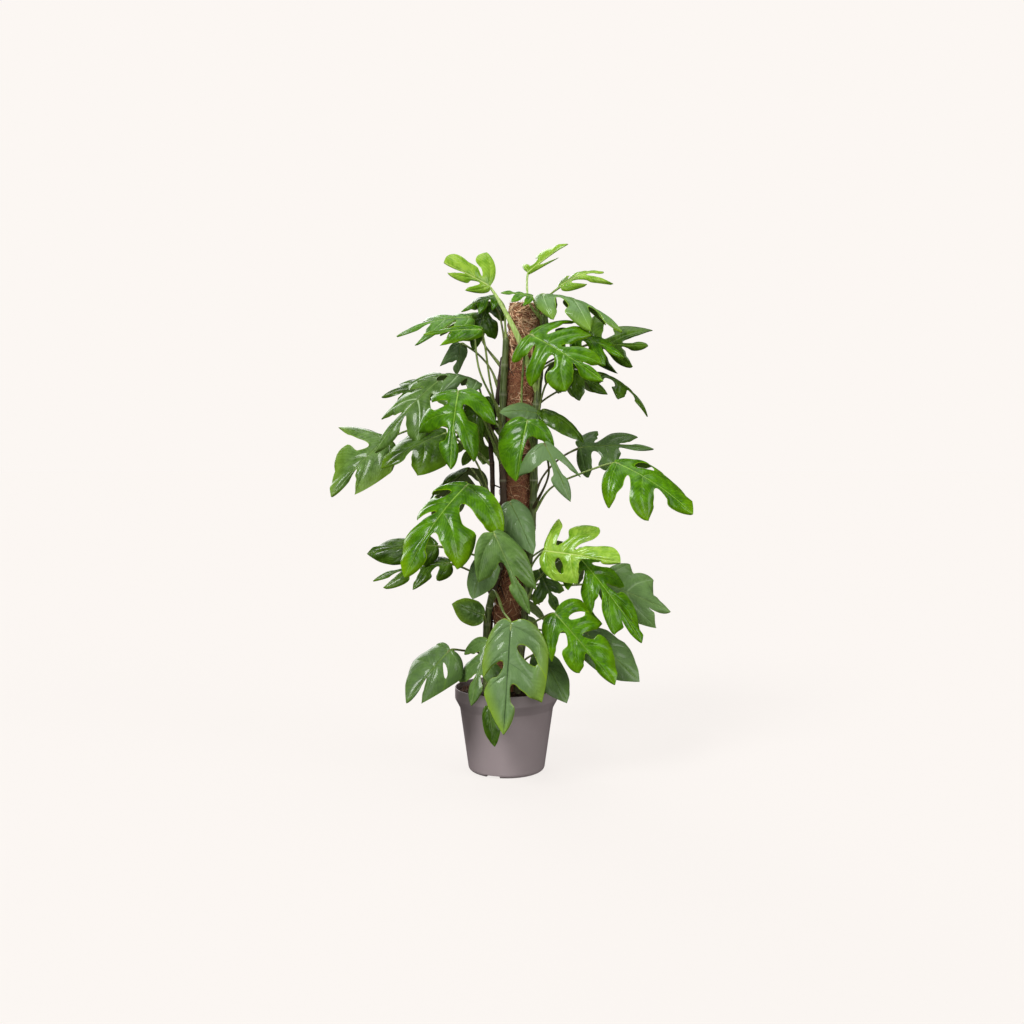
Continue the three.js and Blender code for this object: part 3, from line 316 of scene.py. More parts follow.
def curve_through(points, shares):
    """Points at shares from 0 to 1 of a centripetal Catmull-Rom curve through the given points."""
    points = np.asarray(points, float)
    ends = np.vstack([2 * points[0] - points[1], points, 2 * points[-1] - points[-2]])
    spans = len(points) - 1
    at = np.atleast_1d(shares) * spans
    i = np.minimum(at.astype(int), spans - 1)
    w = (at - i)[:, None]
    p0, p1, p2, p3 = (ends[i + k] for k in range(4))
    pairs = ((p0, p1), (p1, p2), (p2, p3))
    d0, d1, d2 = (np.sqrt(np.linalg.norm(b - a, axis=1, keepdims=True)) for a, b in pairs)
    t1 = ((p1 - p0) / d0 - (p2 - p0) / (d0 + d1) + (p2 - p1) / d1) * d1
    t2 = ((p2 - p1) / d1 - (p3 - p1) / (d1 + d2) + (p3 - p2) / d2) * d1
    return p1 + t1 * w + (3 * (p2 - p1) - 2 * t1 - t2) * w**2 + (2 * (p1 - p2) + t1 + t2) * w**3


def grid_quads(rows, sides, closed=False):
    """The faces between neighbouring rings of points, and from the last ring to the first where closed."""
    i, j = np.meshgrid(np.arange(rows if closed else rows - 1), np.arange(sides), indexing="ij")
    k = (j + 1) % sides
    low, high = i * sides, (i + 1) % rows * sides
    return np.stack([low + j, low + k, high + k, high + j], -1).reshape(-1, 4)


def end_caps(rows, sides):
    """The faces that close the first and the last of such rings."""
    last = (rows - 1) * sides
    return [list(range(sides))[::-1], list(range(last, last + sides))]


def tube(path, radii, sides, widths=None, start=(0.3, 0.2, 0.9)):
    """Points, faces and caps of a tube along a path, oval where widths differ from radii."""
    path = np.asarray(path, float)
    along = unit(np.gradient(path, axis=0))
    normal = np.asarray(start, float)
    turn = np.arange(sides) / sides * 2 * pi
    rings = []
    for k, (p, a) in enumerate(zip(path, along)):
        normal = unit(normal - a * normal.dot(a))
        across = np.cross(a, normal)
        wide = (radii if widths is None else widths)[k]
        rings.append(p + radii[k] * np.outer(np.cos(turn), normal) + wide * np.outer(np.sin(turn), across))
    return np.vstack(rings), grid_quads(len(path), sides), end_caps(len(path), sides)


# ---- materials -------------------------------------------------------------------------------------
class Nodes:
    """Short names for the shader nodes of one material."""

    def __init__(self, name):
        self.material = bpy.data.materials.new(name)
        self.material.use_nodes = True
        self.tree = self.material.node_tree
        self.shader = self.tree.nodes["Principled BSDF"]

    def node(self, kind, inputs=None, **settings):
        """A new node. Its inputs are numbers, colours or the outputs of other nodes."""
        made = self.tree.nodes.new(kind)
        for key, value in settings.items():
            setattr(made, key, value)
        for key, value in (inputs or {}).items():
            self.set(made.inputs[key], value)
        return made

    def set(self, socket, value):
        if isinstance(value, bpy.types.NodeSocket):
            self.tree.links.new(value, socket)
        else:
            socket.default_value = value

    def math(self, operation, a, b=0.0, c=0.0):
        return self.node("ShaderNodeMath", {0: a, 1: b, 2: c}, operation=operation).outputs[0]

    def step(self, value, low, high):
        """0 where value is under low and 1 where it is over high, or the other way round."""
        made = self.node("ShaderNodeMapRange", {"Value": value}, interpolation_type="SMOOTHSTEP")
        flip = low > high
        for key, number in zip(("From Min", "From Max", "To Min", "To Max"),
                               (min(low, high), max(low, high), float(flip), float(not flip))):
            self.set(made.inputs[key], number)
        return made.outputs["Result"]

    def plus(self, a, b):
        return self.math("ADD", a, b)

    def times(self, a, b):
        return self.math("MULTIPLY", a, b)

    def times_plus(self, a, b, c):
        return self.math("MULTIPLY_ADD", a, b, c)

    def blend(self, share, a, b, mode="MIX"):
        """From colour a to colour b. Sockets 6 and 7 are the ones for colours."""
        made = self.node("ShaderNodeMix", data_type="RGBA", blend_type=mode)
        for socket, value in ((0, share), (6, a), (7, b)):
            self.set(made.inputs[socket], value)
        return made.outputs[2]

    def read(self, name):
        """The three parts of a vector attribute."""
        vector = self.node("ShaderNodeAttribute", attribute_name=name).outputs["Vector"]
        parts = self.node("ShaderNodeSeparateXYZ", {0: vector})
        return parts.outputs[0], parts.outputs[1], parts.outputs[2]

    def place(self):
        """The point that is shaded, in the piece's own coordinates."""
        return self.node("ShaderNodeTexCoord").outputs["Object"]

    def stretched(self, *scale):
        """The place with each of its axes scaled, so that a noise that reads it is drawn out."""
        return self.node("ShaderNodeMapping", {"Vector": self.place(), "Scale": scale}).outputs[0]

    def noise(self, scale, detail=3.0, roughness=0.55, vector=None, distortion=0.0):
        made = self.node("ShaderNodeTexNoise", {"Vector": vector or self.place()})
        for key, number in (("Scale", scale), ("Detail", detail), ("Roughness", roughness),
                            ("Distortion", distortion)):
            self.set(made.inputs[key], number)
        return made.outputs["Fac"]

    def bump(self, height, distance, strength=1.0, before=None):
        """The normal for a height, on top of the normal before where there is one."""
        made = self.node("ShaderNodeBump", {"Height": height})
        self.set(made.inputs["Distance"], distance)
        self.set(made.inputs["Strength"], strength)
        if before is not None:
            self.set(made.inputs["Normal"], before)
        return made.outputs["Normal"]

    def finish(self, **sockets):
        """Sets the shader's sockets, which are named with _ for each space."""
        for key, value in sockets.items():
            self.set(self.shader.inputs[key.replace("_", " ")], value)
        return self.material


FINE_PITCH = 0.0031  # from one fine vein of a leaf to the next
PLEAT_PITCH = 0.0085  # from one low fold beside the lateral veins to the next


def leaf_material(name, deep, light, rib, tip, under, gloss, wavy=0.0013):
    """A leaf's upper and lower side, from its six colours, its roughness and how wavy its surface is.

    It reads what leaf_blade writes for each vertex. veins holds the distances to the midrib and to the
    lateral vein, in their own half widths, and that to the edge. lobe holds the places across and along
    the lobe and the share of its length. own and extra hold the leaf's traits, and below is 1 on the
    lower side. The bloom, lime and stripes in own are a painted sheen on some leaves, and on others they
    lighten a leaf that lies in shade, as painted light.
    """
    n = Nodes(name)
    to_rib, to_side, to_edge = n.read("veins")
    across, along, share = n.read("lobe")
    bloom_and_painted_light, lime_and_painted_light, stripe_and_sheen = n.read("own")
    below, shade, dark_rib = n.read("extra")
    clouds = n.noise(26.0, 3.0)
    waves = n.noise(70.0, 2.0)
    slant = n.times_plus(across, -1.3, along)
    wobble = n.times_plus(n.noise(90.0, 1.0), 2.4, -1.2)
    turns = n.plus(n.math("DIVIDE", slant, FINE_PITCH), wobble)
    fine = n.step(n.math("SINE", n.times(turns, 2 * pi)), 0.4, 1.0)
    pleat = n.math("SINE", n.times_plus(slant, 2 * pi / PLEAT_PITCH, wobble))
    rib_line = n.step(to_rib, 1.2, 0.5)
    side_line = n.step(to_side, 1.5, 0.4)
    beside = n.times(n.step(to_side, 5.0, 1.5), stripe_and_sheen)
    mottle = n.step(n.times_plus(pleat, 0.06, n.times_plus(clouds, 0.6, waves)), 0.5, 1.1)
    colour = n.blend(mottle, deep, light)
    colour = n.blend(shade, colour, n.blend(1.0, colour, (0.62, 0.7, 0.6, 1), "MULTIPLY"))
    # Pale blue-grey: a waxy bloom. On crown_right and left_top_edge it is a painted sheen, and on
    # back_left_grey and right_low_back it lightens a leaf in shade, as painted light.
    colour = n.blend(n.times(bloom_and_painted_light, 0.8), colour, rgb(114, 144, 96))
    vein = n.blend(dark_rib, rib, rgb(36, 62, 24))
    colour = n.blend(n.times(fine, 0.12), colour, vein)
    colour = n.blend(n.times(side_line, 0.42), colour, vein)
    # Pale stripes beside the veins, which on crown_right and left_top_edge are partly a painted sheen.
    colour = n.blend(n.times(beside, 0.75), colour, rgb(172, 196, 150))
    # Lime towards the lobes' ends and along the margin, which on right_low_back also lightens a leaf in
    # shade, as painted light.
    ends = n.times(n.step(share, 0.5, 1.05), n.times_plus(lime_and_painted_light, 0.6, 0.06))
    colour = n.blend(ends, colour, tip)
    margin = n.times(n.step(to_edge, 0.0025, 0.0), n.times_plus(lime_and_painted_light, 0.5, 0.3))
    colour = n.blend(margin, colour, tip)
    colour = n.blend(n.times(rib_line, 0.72), colour, vein)
    lower = n.blend(n.times(n.step(to_side, 1.6, 0.3), 0.4), under, rib)
    lower = n.blend(n.times(clouds, 0.4), lower, colour)
    colour = n.blend(below, colour, lower)
    rough = n.times_plus(clouds, 0.14, gloss)
    rough = n.times_plus(bloom_and_painted_light, 0.16, rough)
    rough = n.times_plus(below, 0.3, rough)
    grooves = n.math("MAXIMUM", n.times(fine, 0.3), side_line)
    relief = n.times_plus(grooves, -0.4, n.times(pleat, 0.6))
    normal = n.bump(relief, wavy / 10, 1.0, n.bump(waves, wavy, 1.0))
    return n.finish(Base_Color=colour, Roughness=rough, Normal=normal, Specular_IOR_Level=0.16,
                    Coat_Weight=0.26, Coat_Roughness=0.1)


# The tones are partly each leaf's own green and partly painted light and shade: leaves that lie in shade
# inside and behind the plant mostly have the dark tone, which is painted shade on them.
LEAF_MATERIALS = {
    "young": leaf_material("young_leaf", rgb(100, 150, 14), rgb(152, 190, 62), rgb(200, 216, 124),
                           rgb(174, 204, 76), rgb(166, 188, 98), 0.24, 0.0005),
    "bright": leaf_material("bright_leaf", rgb(48, 94, 0), rgb(88, 142, 0), rgb(148, 188, 72),
                            rgb(140, 184, 6), rgb(112, 142, 54), 0.24),
    "mid": leaf_material("mid_leaf", rgb(66, 98, 32), rgb(102, 136, 62), rgb(122, 148, 78),
                         rgb(138, 174, 16), rgb(130, 150, 92), 0.3),
    "dark": leaf_material("dark_and_shaded_leaf", rgb(38, 66, 2), rgb(74, 108, 18), rgb(104, 132, 50),
                          rgb(106, 144, 20), rgb(122, 140, 86), 0.27),
}


def stalk_material(name, fresh, old, scar):
    """Streaked green that turns to bark with age, pale on young leaves' stalks, with a scar at each ring."""
    n = Nodes(name)
    age, ring, pale = n.read("age")
    streaks = n.noise(60.0, 4.0, vector=n.stretched(9, 9, 0.6))
    streaks = n.step(streaks, 0.3, 0.7)
    patches = n.noise(70.0, 5.0, 0.7)
    colour = n.blend(streaks, fresh[0], fresh[1])
    colour = n.blend(pale, colour, n.blend(streaks, *YOUNG_STALK))
    bark = n.blend(patches, old[0], old[1])
    share = n.step(n.plus(age, n.times_plus(patches, 0.9, -0.45)), 0.35, 0.75)
    colour = n.blend(share, colour, bark)
    colour = n.blend(n.times(ring, 0.75), colour, scar)
    rough = n.times_plus(share, 0.35, 0.42)
    height = n.times_plus(patches, n.plus(share, 0.25), n.times(streaks, 0.5))
    return n.finish(Base_Color=colour, Roughness=rough, Normal=n.bump(height, 0.0007, 0.8))


YOUNG_STALK = (rgb(140, 178, 70), rgb(196, 218, 134))
STALK = stalk_material("stalk", (rgb(92, 122, 40), rgb(160, 178, 100)), (rgb(50, 36, 24), rgb(98, 80, 52)),
                       rgb(150, 160, 110))
STEM = stalk_material("stem", (rgb(56, 72, 26), rgb(118, 134, 76)), (rgb(46, 32, 24), rgb(94, 74, 54)),
                      rgb(168, 170, 140))
OLD_STEM = stalk_material("old_stem", (rgb(58, 50, 32), rgb(92, 84, 56)), (rgb(34, 23, 18), rgb(76, 56, 42)),
                          rgb(104, 84, 62))


# ---- leaf blades -----------------------------------------------------------------------------------
# A blade is drawn flat with its base at 0,0 and its tip at 1,0. Lateral veins run from the midrib
# to the lobes' tips; a lobe's edges lie part of the way to the next vein.
LEVELS = np.array([0.03, 0.075, 0.125, 0.17, 0.174, 0.186, 0.205, 0.235, 0.275, 0.32, 0.36, 0.4, 0.406,
                   0.425, 0.455, 0.5, 0.55, 0.6, 0.65, 0.7, 0.706, 0.725, 0.75, 0.78, 0.81, 0.84, 0.87,
                   0.9, 0.93, 0.96, 0.985, 1.0])
ACROSS = np.array([0, 0.07, 0.18, 0.34, 0.54, 0.77, 1])
OPENING, INNER, OUTER = 0.17, 0.4, 0.7  # the levels that the gaps' shares are given for
TIP_WIDEST = 0.5  # the level from which the leaf's own tip narrows
TIP_FLARE = 0.45  # how much of a gap's change towards the margin the leaf's own tip follows
FIRST_ROOT = 0.03  # where the first lateral vein leaves the midrib
# Where the leaf's own tip starts on the midrib: the first number, less the second over the most lobes.
TIP_ROOT = (0.8, 0.3)
HEEL_DROP = 0.09  # how far the leaf's heel reaches back past the blade's base
HEEL_WIDTH = 0.5  # how wide it is, as a share of the first lobe's reach
STATIONS = 44  # points along the midrib
# How much a half lobe's rows bow out towards its end, by the gap beside it. Beside other gaps only the
# halves that face the leaf's base do, by BASAL_BULGE.
BULGE = {None: 0.22, "e": 0.07, "h": 0.045, "q": 0.045}
BASAL_BULGE = 0.1
# The relief of a half lobe, in shares of the blade's length: its arch, the twist and the drop of an edge
# that stands free, the ripple along it, how far its end droops (the least, and what a draw adds), and
# the depth and half width of the groove along its vein and along the leaf's own tip.
ARCH = 0.011
TWIST = 0.5
EDGE_DROP = 0.016
RIPPLE = 0.006
DROOP = (0.02, 0.05)
VEIN_GROOVE = (0.0036, 0.011)
TIP_GROOVE = (0.003, 0.012)
NO_AREA = 1e-12  # triangles smaller than this are left out
MIDRIB = {"lift": 0, "side": 0.06, "along": 0, "share": 0, "edge": 1, "thin": 1}


def round_opening(t):
    """From 0 to 1, steep at first, so that a gap starts with a round end."""
    t = np.clip(t, 0, 1)
    return np.sqrt(t) * (1.35 - 0.35 * t)


def gap_edges(kind, a, at_tip):
    """At levels a, how far the edges before and after a gap stand from the vein before it, as shares
    of the way to the next vein. A lobe's edge towards the base rounds out to its end, and its other
    edge runs straight to it, as both edges of the leaf's own tip do."""
    (own_in, next_in), (own_out, next_out) = GAPS[kind]
    left = np.clip((1 - a) / (1 - OUTER), 0, 1)
    pointed = left + left**2 - left**3
    blunt = mix(left, np.sqrt(left * (2 - left)), 0.8)
    if at_tip:
        next_out = mix(next_in, next_out, TIP_FLARE)
    if kind == "e":
        return 0.5 + 0 * a, 0.5 + 0 * a
    if kind in "hq":
        u = np.clip((a - OPENING) / (OUTER - OPENING), 0, 1)
        middle = 0.5 - 0.05 * u
        half = (next_in - own_in) / 2 * 2.05 * np.sqrt(u * (1 - u))
        return middle - half, middle + half
    start = {"t": INNER, "n": OUTER}.get(kind, OPENING)
    if start == OPENING:
        first = round_opening((a - OPENING) / (INNER - OPENING))
        second = smooth((a - INNER) / (OUTER - INNER))
        own = np.where(a < INNER, mix(0.5, own_in, first), mix(own_in, own_out, second))
        nxt = np.where(a < INNER, mix(0.5, next_in, first), mix(next_in, next_out, second))
    else:
        first = round_opening((a - start) / max(OUTER - start, 1e-6))
        own, nxt = mix(0.5, own_out, first), mix(0.5, next_out, first)
    own = np.where(a > OUTER, own_out * (blunt if kind == "y" else mix(left, pointed, 0.5)), own)
    if at_tip:
        slim = np.clip((1 - a) / (1 - TIP_WIDEST), 0, 1)
        return own, 1 - (1 - nxt) * slim * (1.5 - 0.5 * slim**2)
    return own, np.where(a > OUTER, 1 - (1 - next_out) * blunt, nxt)


def vein_point(root, end, a):
    """The point a share of the way along a lobe's vein, which bends towards the leaf's tip."""
    bend = np.array([root + 0.25 * (end[0] - root), 0.6 * end[1]])
    start = np.array([root, 0.0])
    a = a[..., None]
    return (1 - a) ** 2 * start + 2 * a * (1 - a) * bend + a**2 * np.asarray(end)


def leaf_sides(shape, index):
    """The lobes and gaps of a leaf's two sides. A form's lobes are each a little longer or shorter."""
    if len(shape) > 1:
        return [(shape[0], shape[1]), (shape[2], shape[3])]
    lobes, gaps = FORMS[shape[0]]
    return [([[end + 0.05 * (draw(index, 10 * j + side) - 0.5),
               reach * (0.94 + 0.12 * draw(index, 20 * j + side))]
              for j, (end, reach) in enumerate(lobes)], gaps) for side in (0, 1)]


class Side:
    """One side of a leaf: its lobes, the gap after each of them, and where the leaf's own tip starts."""

    def __init__(self, lobes, gaps, tip_root):
        self.lobes = lobes
        self.gaps = gaps
        self.tip_root = tip_root
        self.count = len(lobes)

    def ray(self, j, a):
        """The point a share of the way along lobe j's vein. Before the first lobe lies the edge of the
        leaf's heel, and after the last one the end of the midrib, which is the leaf's own tip."""
        if j < 0:
            return np.stack([-HEEL_DROP * a, HEEL_WIDTH * self.lobes[0][1] * a], -1)
        if j < self.count:
            return vein_point(mix(FIRST_ROOT, self.tip_root, j / self.count), self.lobes[j], a)
        return np.stack([mix(self.tip_root, 1, a), 0 * a], -1)


def lobe_widths(kind, basal, at_tip):
    """Level by level, the width of half a lobe and of the gap beside it, as shares of the way to the
    next vein, and the level where that gap opens."""
    a = LEVELS[:, None]
    if kind is None:
        return np.sqrt(1 - a**3), 0 * a + 1, 0.0
    own, nxt = gap_edges(kind, a, at_tip)
    return 1 - nxt if basal else own, nxt - own, {"t": INNER, "n": OUTER, "e": 1.0}.get(kind, OPENING)


def half_lobe(side, j, basal, traits):
    """Points and vertex values of the half of lobe j that faces the leaf's base or its tip."""
    at_tip = j == side.count
    other = j - 1 if basal else j + 1
    kind = (side.gaps[j - 1] if j else None) if basal else side.gaps[j]
    a = LEVELS[:, None]
    wide, gap, opening = lobe_widths(kind, basal, max(j, other) == side.count)
    vein_length = np.linalg.norm(side.ray(j, np.array(1.0)) - side.ray(j, np.array(0.0)))
    u = ACROSS[None, :] * wide
    bulge = BULGE.get(kind, BASAL_BULGE if basal else 0)
    level = a + bulge * 4 * u * (1 - u) * smooth((a - 0.55) / 0.45)
    near, far = side.ray(j, level), side.ray(other, level)
    block = near + u[..., None] * (far - near)
    edge_point = near + wide[..., None] * (far - near)
    across = np.linalg.norm(block - near, axis=-1)
    to_edge = np.linalg.norm(edge_point - block, axis=-1)
    to_start = np.maximum(opening - a, 0) * vein_length
    edge = np.minimum(np.hypot(to_edge, to_start), (1.002 - a) * vein_length + 0.3 * at_tip)
    free = smooth(gap / 0.3) * smooth((a - 0.1) / 0.5)
    s = ACROSS[None, :]
    way = 1 if basal else -1
    twist = way * (traits[0] - 0.5) * TWIST * across * free
    arch = ARCH * np.sin(pi * s) * np.sin(pi * np.clip(a, 0, 1)) ** 0.7
    drop = -EDGE_DROP * s**2 * free - (DROOP[0] + DROOP[1] * traits[1]) * a**2 * (not at_tip)
    ripple = RIPPLE * np.sin(2 * pi * (1.3 * a + traits[2])) * s**2 * free
    depth, width = TIP_GROOVE if at_tip else VEIN_GROOVE
    groove = -depth * np.exp(-((across / width) ** 2)) * (1 - a) * (1 if at_tip else smooth(a / 0.12))
    return block, {"lift": twist + arch + drop + ripple + groove, "side": across,
                   "along": level * vein_length + 0.37 * j, "share": a + 0 * u, "edge": edge,
                   "thin": (1.15 - a) * (1.0 if at_tip else 0.8)}


def sew(flat, spine, row):
    """The triangles between the midrib's points and the row of points beside it."""
    triangles = []
    i = k = 0
    while i < len(spine) - 1 or k < len(row) - 1:
        row_done, spine_done = k == len(row) - 1, i == len(spine) - 1
        if row_done or (not spine_done and flat[spine[i + 1], 0] < flat[row[k + 1], 0]):
            triangles.append([spine[i], spine[i + 1], row[k]])
            i += 1
        else:
            triangles.append([spine[i], row[k + 1], row[k]])
            k += 1
    return np.array(triangles)


def joined(flat, triangles, values):
    """The same blade with points that lie on each other made one, and all its triangles facing up."""
    _, first, same = np.unique(np.round(flat, 6), axis=0, return_index=True, return_inverse=True)
    same = same.ravel()
    share = np.bincount(same)
    values = {key: np.bincount(same, weights=store) / share for key, store in values.items()}
    flat = flat[first]
    faces = same[triangles]
    a, b, c = (flat[faces[:, k]] for k in range(3))
    area = (b[:, 0] - a[:, 0]) * (c[:, 1] - a[:, 1]) - (b[:, 1] - a[:, 1]) * (c[:, 0] - a[:, 0])
    faces = np.where(area[:, None] < 0, faces[:, ::-1], faces)[np.abs(area) > NO_AREA]
    return flat, faces, values


def flat_blade(sides, index):
    """Points, triangles and vertex values of one face of a blade, all lengths as shares of its own."""
    tip_root = TIP_ROOT[0] - TIP_ROOT[1] / max(len(lobes) for lobes, _ in sides)
    points, triangles = [], []
    kept = {key: [] for key in MIDRIB}

    def add(block, values):
        start = sum(len(made) for made in points)
        points.append(block.reshape(-1, 2))
        for key, store in kept.items():
            store.append(np.broadcast_to(values[key], block.shape[:-1]).reshape(-1))
        return start + np.arange(len(points[-1])).reshape(block.shape[:-1])

    stations = np.linspace(0, mix(tip_root, 1, LEVELS[0]), STATIONS)
    spine = add(np.stack([stations, 0 * stations], -1), MIDRIB)
    for which, (lobes, gaps) in enumerate(sides):
        side = Side(lobes, gaps, tip_root)
        halves = [(j, basal) for j in range(side.count + 1) for basal in (True, False)]
        row = []
        for j, basal in halves[:-1]:
            traits = [draw(index * 3 + which, 40 + 7 * j + k) for k in range(3)]
            block, values = half_lobe(side, j, basal, traits)
            ids = add(block * [1, -1 if which else 1], values)
            first, second = ids[:-1, :], ids[1:, :]
            triangles.append(np.stack([first[:, :-1], first[:, 1:], second[:, 1:]], -1).reshape(-1, 3))
            triangles.append(np.stack([first[:, :-1], second[:, 1:], second[:, :-1]], -1).reshape(-1, 3))
            row.extend(ids[0][::-1] if basal else ids[0])
        triangles.append(sew(np.vstack(points), spine, row))
    values = {key: np.concatenate(store) for key, store in kept.items()}
    return joined(np.vstack(points), np.vstack(triangles), values)


CUP_REACH = 0.42  # the reach, as a share of the blade's length, where its cup is fully turned
RIB_WIDTHS = (0.0013, 0.0004)  # half the drawn width of the midrib, in metres, at base and tip
VEIN_WIDTH = 0.0006  # the same for the widest lateral vein
RIB_GROOVE = (0.0006, 0.0016)  # the depth and half width of the groove along the midrib, in metres
STALK_END = -1.8  # how far under the blade's middle its stalk runs, in millimetres


def blade_frame(leaf):
    """Where flat points of the leaf lie once the blade is curled along its midrib and cupped across."""
    base, tip = np.array(leaf["base"]) * MM, np.array(leaf["tip"]) * MM
    chord = np.linalg.norm(tip - base)
    e1 = (tip - base) / chord
    e3 = np.array(leaf["facing"], float)
    e3 = unit(e3 - e1 * e3.dot(e1))
    e2 = np.cross(e3, e1)
    turn, roll = radians(leaf["curl"]), radians(leaf["cup"])
    length = chord * turn / (2 * sin(turn / 2))
    bend = length / turn
    half_width = CUP_REACH * length

    def place(x, y, lift=0.0):
        x, y, lift = np.broadcast_arrays(np.asarray(x, float), y, lift)
        pitch = turn * (0.5 - x)
        beta = roll * y * length / half_width
        up = np.cos(pitch)[..., None] * e3 - np.sin(pitch)[..., None] * e1
        normal = np.cos(beta)[..., None] * up + np.sin(beta)[..., None] * e2
        middle = base + (bend * (sin(turn / 2) - np.sin(pitch)))[..., None] * e1
        middle = middle + (bend * (np.cos(pitch) - cos(turn / 2)))[..., None] * e3
        round_off = half_width / roll
        return (middle + (round_off * np.sin(beta))[..., None] * e2
                - (round_off * (1 - np.cos(beta)))[..., None] * up + lift[..., None] * normal)

    return place, length


def leaf_blade(shape, leaf, place, length, index):
    """Adds the blade: an upper and a lower face, joined round their edge."""
    flat, faces, values = flat_blade(leaf["sides"], index)
    rib = np.abs(flat[:, 1]) * length
    depth, width = RIB_GROOVE
    groove = -depth * np.exp(-((rib / width) ** 2)) * smooth((1 - flat[:, 0]) / 0.5)
    lift = values["lift"] * length + groove
    half = BLADE_THICKNESS * MM / 2
    upper = place(flat[:, 0], flat[:, 1], lift + half)
    lower = place(flat[:, 0], flat[:, 1], lift - half)
    count = len(flat)
    directed = np.vstack([faces[:, [0, 1]], faces[:, [1, 2]], faces[:, [2, 0]]])
    key, back = directed[:, 0] * count + directed[:, 1], directed[:, 1] * count + directed[:, 0]
    a, b = directed[~np.isin(key, back)].T
    rim = np.vstack([np.stack([b, a, count + a], -1), np.stack([b, count + a, count + b], -1)])
    all_faces = np.vstack([faces, faces[:, ::-1] + count, rim])
    rib_width = mix(*RIB_WIDTHS, np.clip(flat[:, 0], 0, 1))
    veins = np.stack([rib / rib_width, values["side"] * length / (VEIN_WIDTH * values["thin"] + 1e-5),
                      values["edge"] * length], -1)
    lobe = np.stack([values["side"] * length, values["along"] * length, values["share"]], -1)
    name = leaf["name"]
    # The leaf's bloom, lime and stripes: on some leaves a painted sheen, on others painted light that
    # lightens a leaf in shade.
    own = [BLOOM_AND_PAINTED_LIGHT.get(name, 0), LIME_AND_PAINTED_LIGHT.get(name, 0), STRIPE_AND_SHEEN.get(name, 0)]
    extra = np.tile([0, draw(index, 91) * 0.6, DARK_RIB.get(name, 0)], (2 * count, 1))
    extra[count:, 0] = 1
    shape.add(np.vstack([upper, lower]), all_faces, 0,
              {"veins": np.vstack([veins, veins]), "lobe": np.vstack([lobe, lobe]),
               "own": np.tile(own, (2 * count, 1)), "extra": extra})


def pole_centre(height):
    """The middle of the pole at a height, both in millimetres."""
    return mix(POLE_FOOT, POLE_TOP, (height - POLE_FOOT[2]) / (POLE_TOP[2] - POLE_FOOT[2]))


def stem_points(name):
    """The points that a stem passes, each given by its height, angle and distance from the pole's middle."""
    stops = [pole_centre(height) + stand_off * np.array([cos(radians(angle)), sin(radians(angle)), 0])
             for height, angle, stand_off in STEMS[name][1]]
    return np.array(stops) * MM


def stem_at(name, height):
    """The middle of a stem at a height in millimetres."""
    shares = np.linspace(0, 1, 800)
    path = curve_through(stem_points(name), shares)
    return path[np.argmin(np.abs(path[:, 2] - height * MM))]


def stalk_path(leaf, place):
    """The points that a leaf's stalk passes, from the middle of its stem to under the blade."""
    root = stem_at(leaf["stem"], leaf["node"])
    end = np.array(leaf["base"]) * MM
    under = STALK_END * MM
    if leaf["via"]:
        middle = [np.array(p) * MM for p in leaf["via"]]
    else:
        span = end - root
        out = unit(span * [1, 1, 0])
        rise = 0.35 * np.linalg.norm(span)
        one = root + out * 0.2 * rise + [0, 0, rise]
        two = end - out * 0.8 * rise - [0, 0, 0.3 * rise]
        middle = [(1 - t) ** 3 * root + 3 * t * (1 - t) ** 2 * one + 3 * t**2 * (1 - t) * two + t**3 * end
                  for t in (0.33, 0.67)]
    return [root, *middle, place(0.01, 0.0, under), place(0.1, 0.0, under)]


STALK_STEPS = 34
RIB_STEPS = 16
STALK_SIDES = 10
RIB_SPAN = (0.14, 0.96)  # the shares of the blade that its raised midrib reaches from and to
RIB_RADII = (1.3, 0.25)
STALK_AGE = {"young": 0.0, "bright": 0.16, "mid": 0.3, "dark": 0.46}


def leaf_stalk(shape, leaf, place, index):
    """Adds the stalk, which goes on under the blade as its midrib."""
    shares = np.linspace(0, 1, STALK_STEPS)
    path = curve_through(stalk_path(leaf, place), shares)
    joint = np.exp(-(((shares - 0.72) / 0.07) ** 2))
    swell = 1 + 0.8 * (1 - smooth(shares / 0.25)) + 0.2 * joint
    radii = STALK_RADIUS * MM * swell * mix(1, 0.72, smooth((shares - 0.8) / 0.2))
    wide = SHEATH.get(leaf["name"], STALK_RADIUS) * MM
    widths = np.maximum(radii, wide * (1 - smooth((shares - 0.3) / 0.6)))
    x = np.linspace(*RIB_SPAN, RIB_STEPS)
    rib_radii = np.linspace(*RIB_RADII, RIB_STEPS) * MM
    rib = place(x, 0 * x, -(0.5 * MM + rib_radii))
    points, faces, caps = tube(np.vstack([path, rib]), np.r_[radii, rib_radii], STALK_SIDES,
                               np.r_[widths, rib_radii], start=unit(path[3] - path[0]) + [0.05, -1, 0.2])
    age = STALK_AGE[leaf["tone"]] + 0.2 * (draw(index, 77) - 0.5)
    fade = np.r_[mix(age + 0.12, age, shares), np.full(RIB_STEPS, age - 0.2)]
    pale = 0 * fade + (leaf["tone"] == "young")
    values = np.repeat(np.stack([fade, 0 * fade, pale], -1), STALK_SIDES, axis=0)
    shape.add(points, faces, 1, {"age": values}, caps)


def make_leaf(index, row):
    """One leaf from its row of LEAVES: a blade and its stalk in one piece."""
    leaf = dict(zip(LEAF_KEYS, row))
    leaf["sides"] = leaf_sides(row[len(LEAF_KEYS):], index)
    place, length = blade_frame(leaf)
    shape = Shape()
    leaf_blade(shape, leaf, place, length, index)
    leaf_stalk(shape, leaf, place, index)
    name, tone = leaf["name"], leaf["tone"]
    piece = shape.build(f"foliage_{name}", [LEAF_MATERIALS[tone], STALK],
                        ("veins", "lobe", "own", "extra", "age"), sharp=62)
    finish_piece(piece, f"leaf_{tone}", f"leaf_{name}")


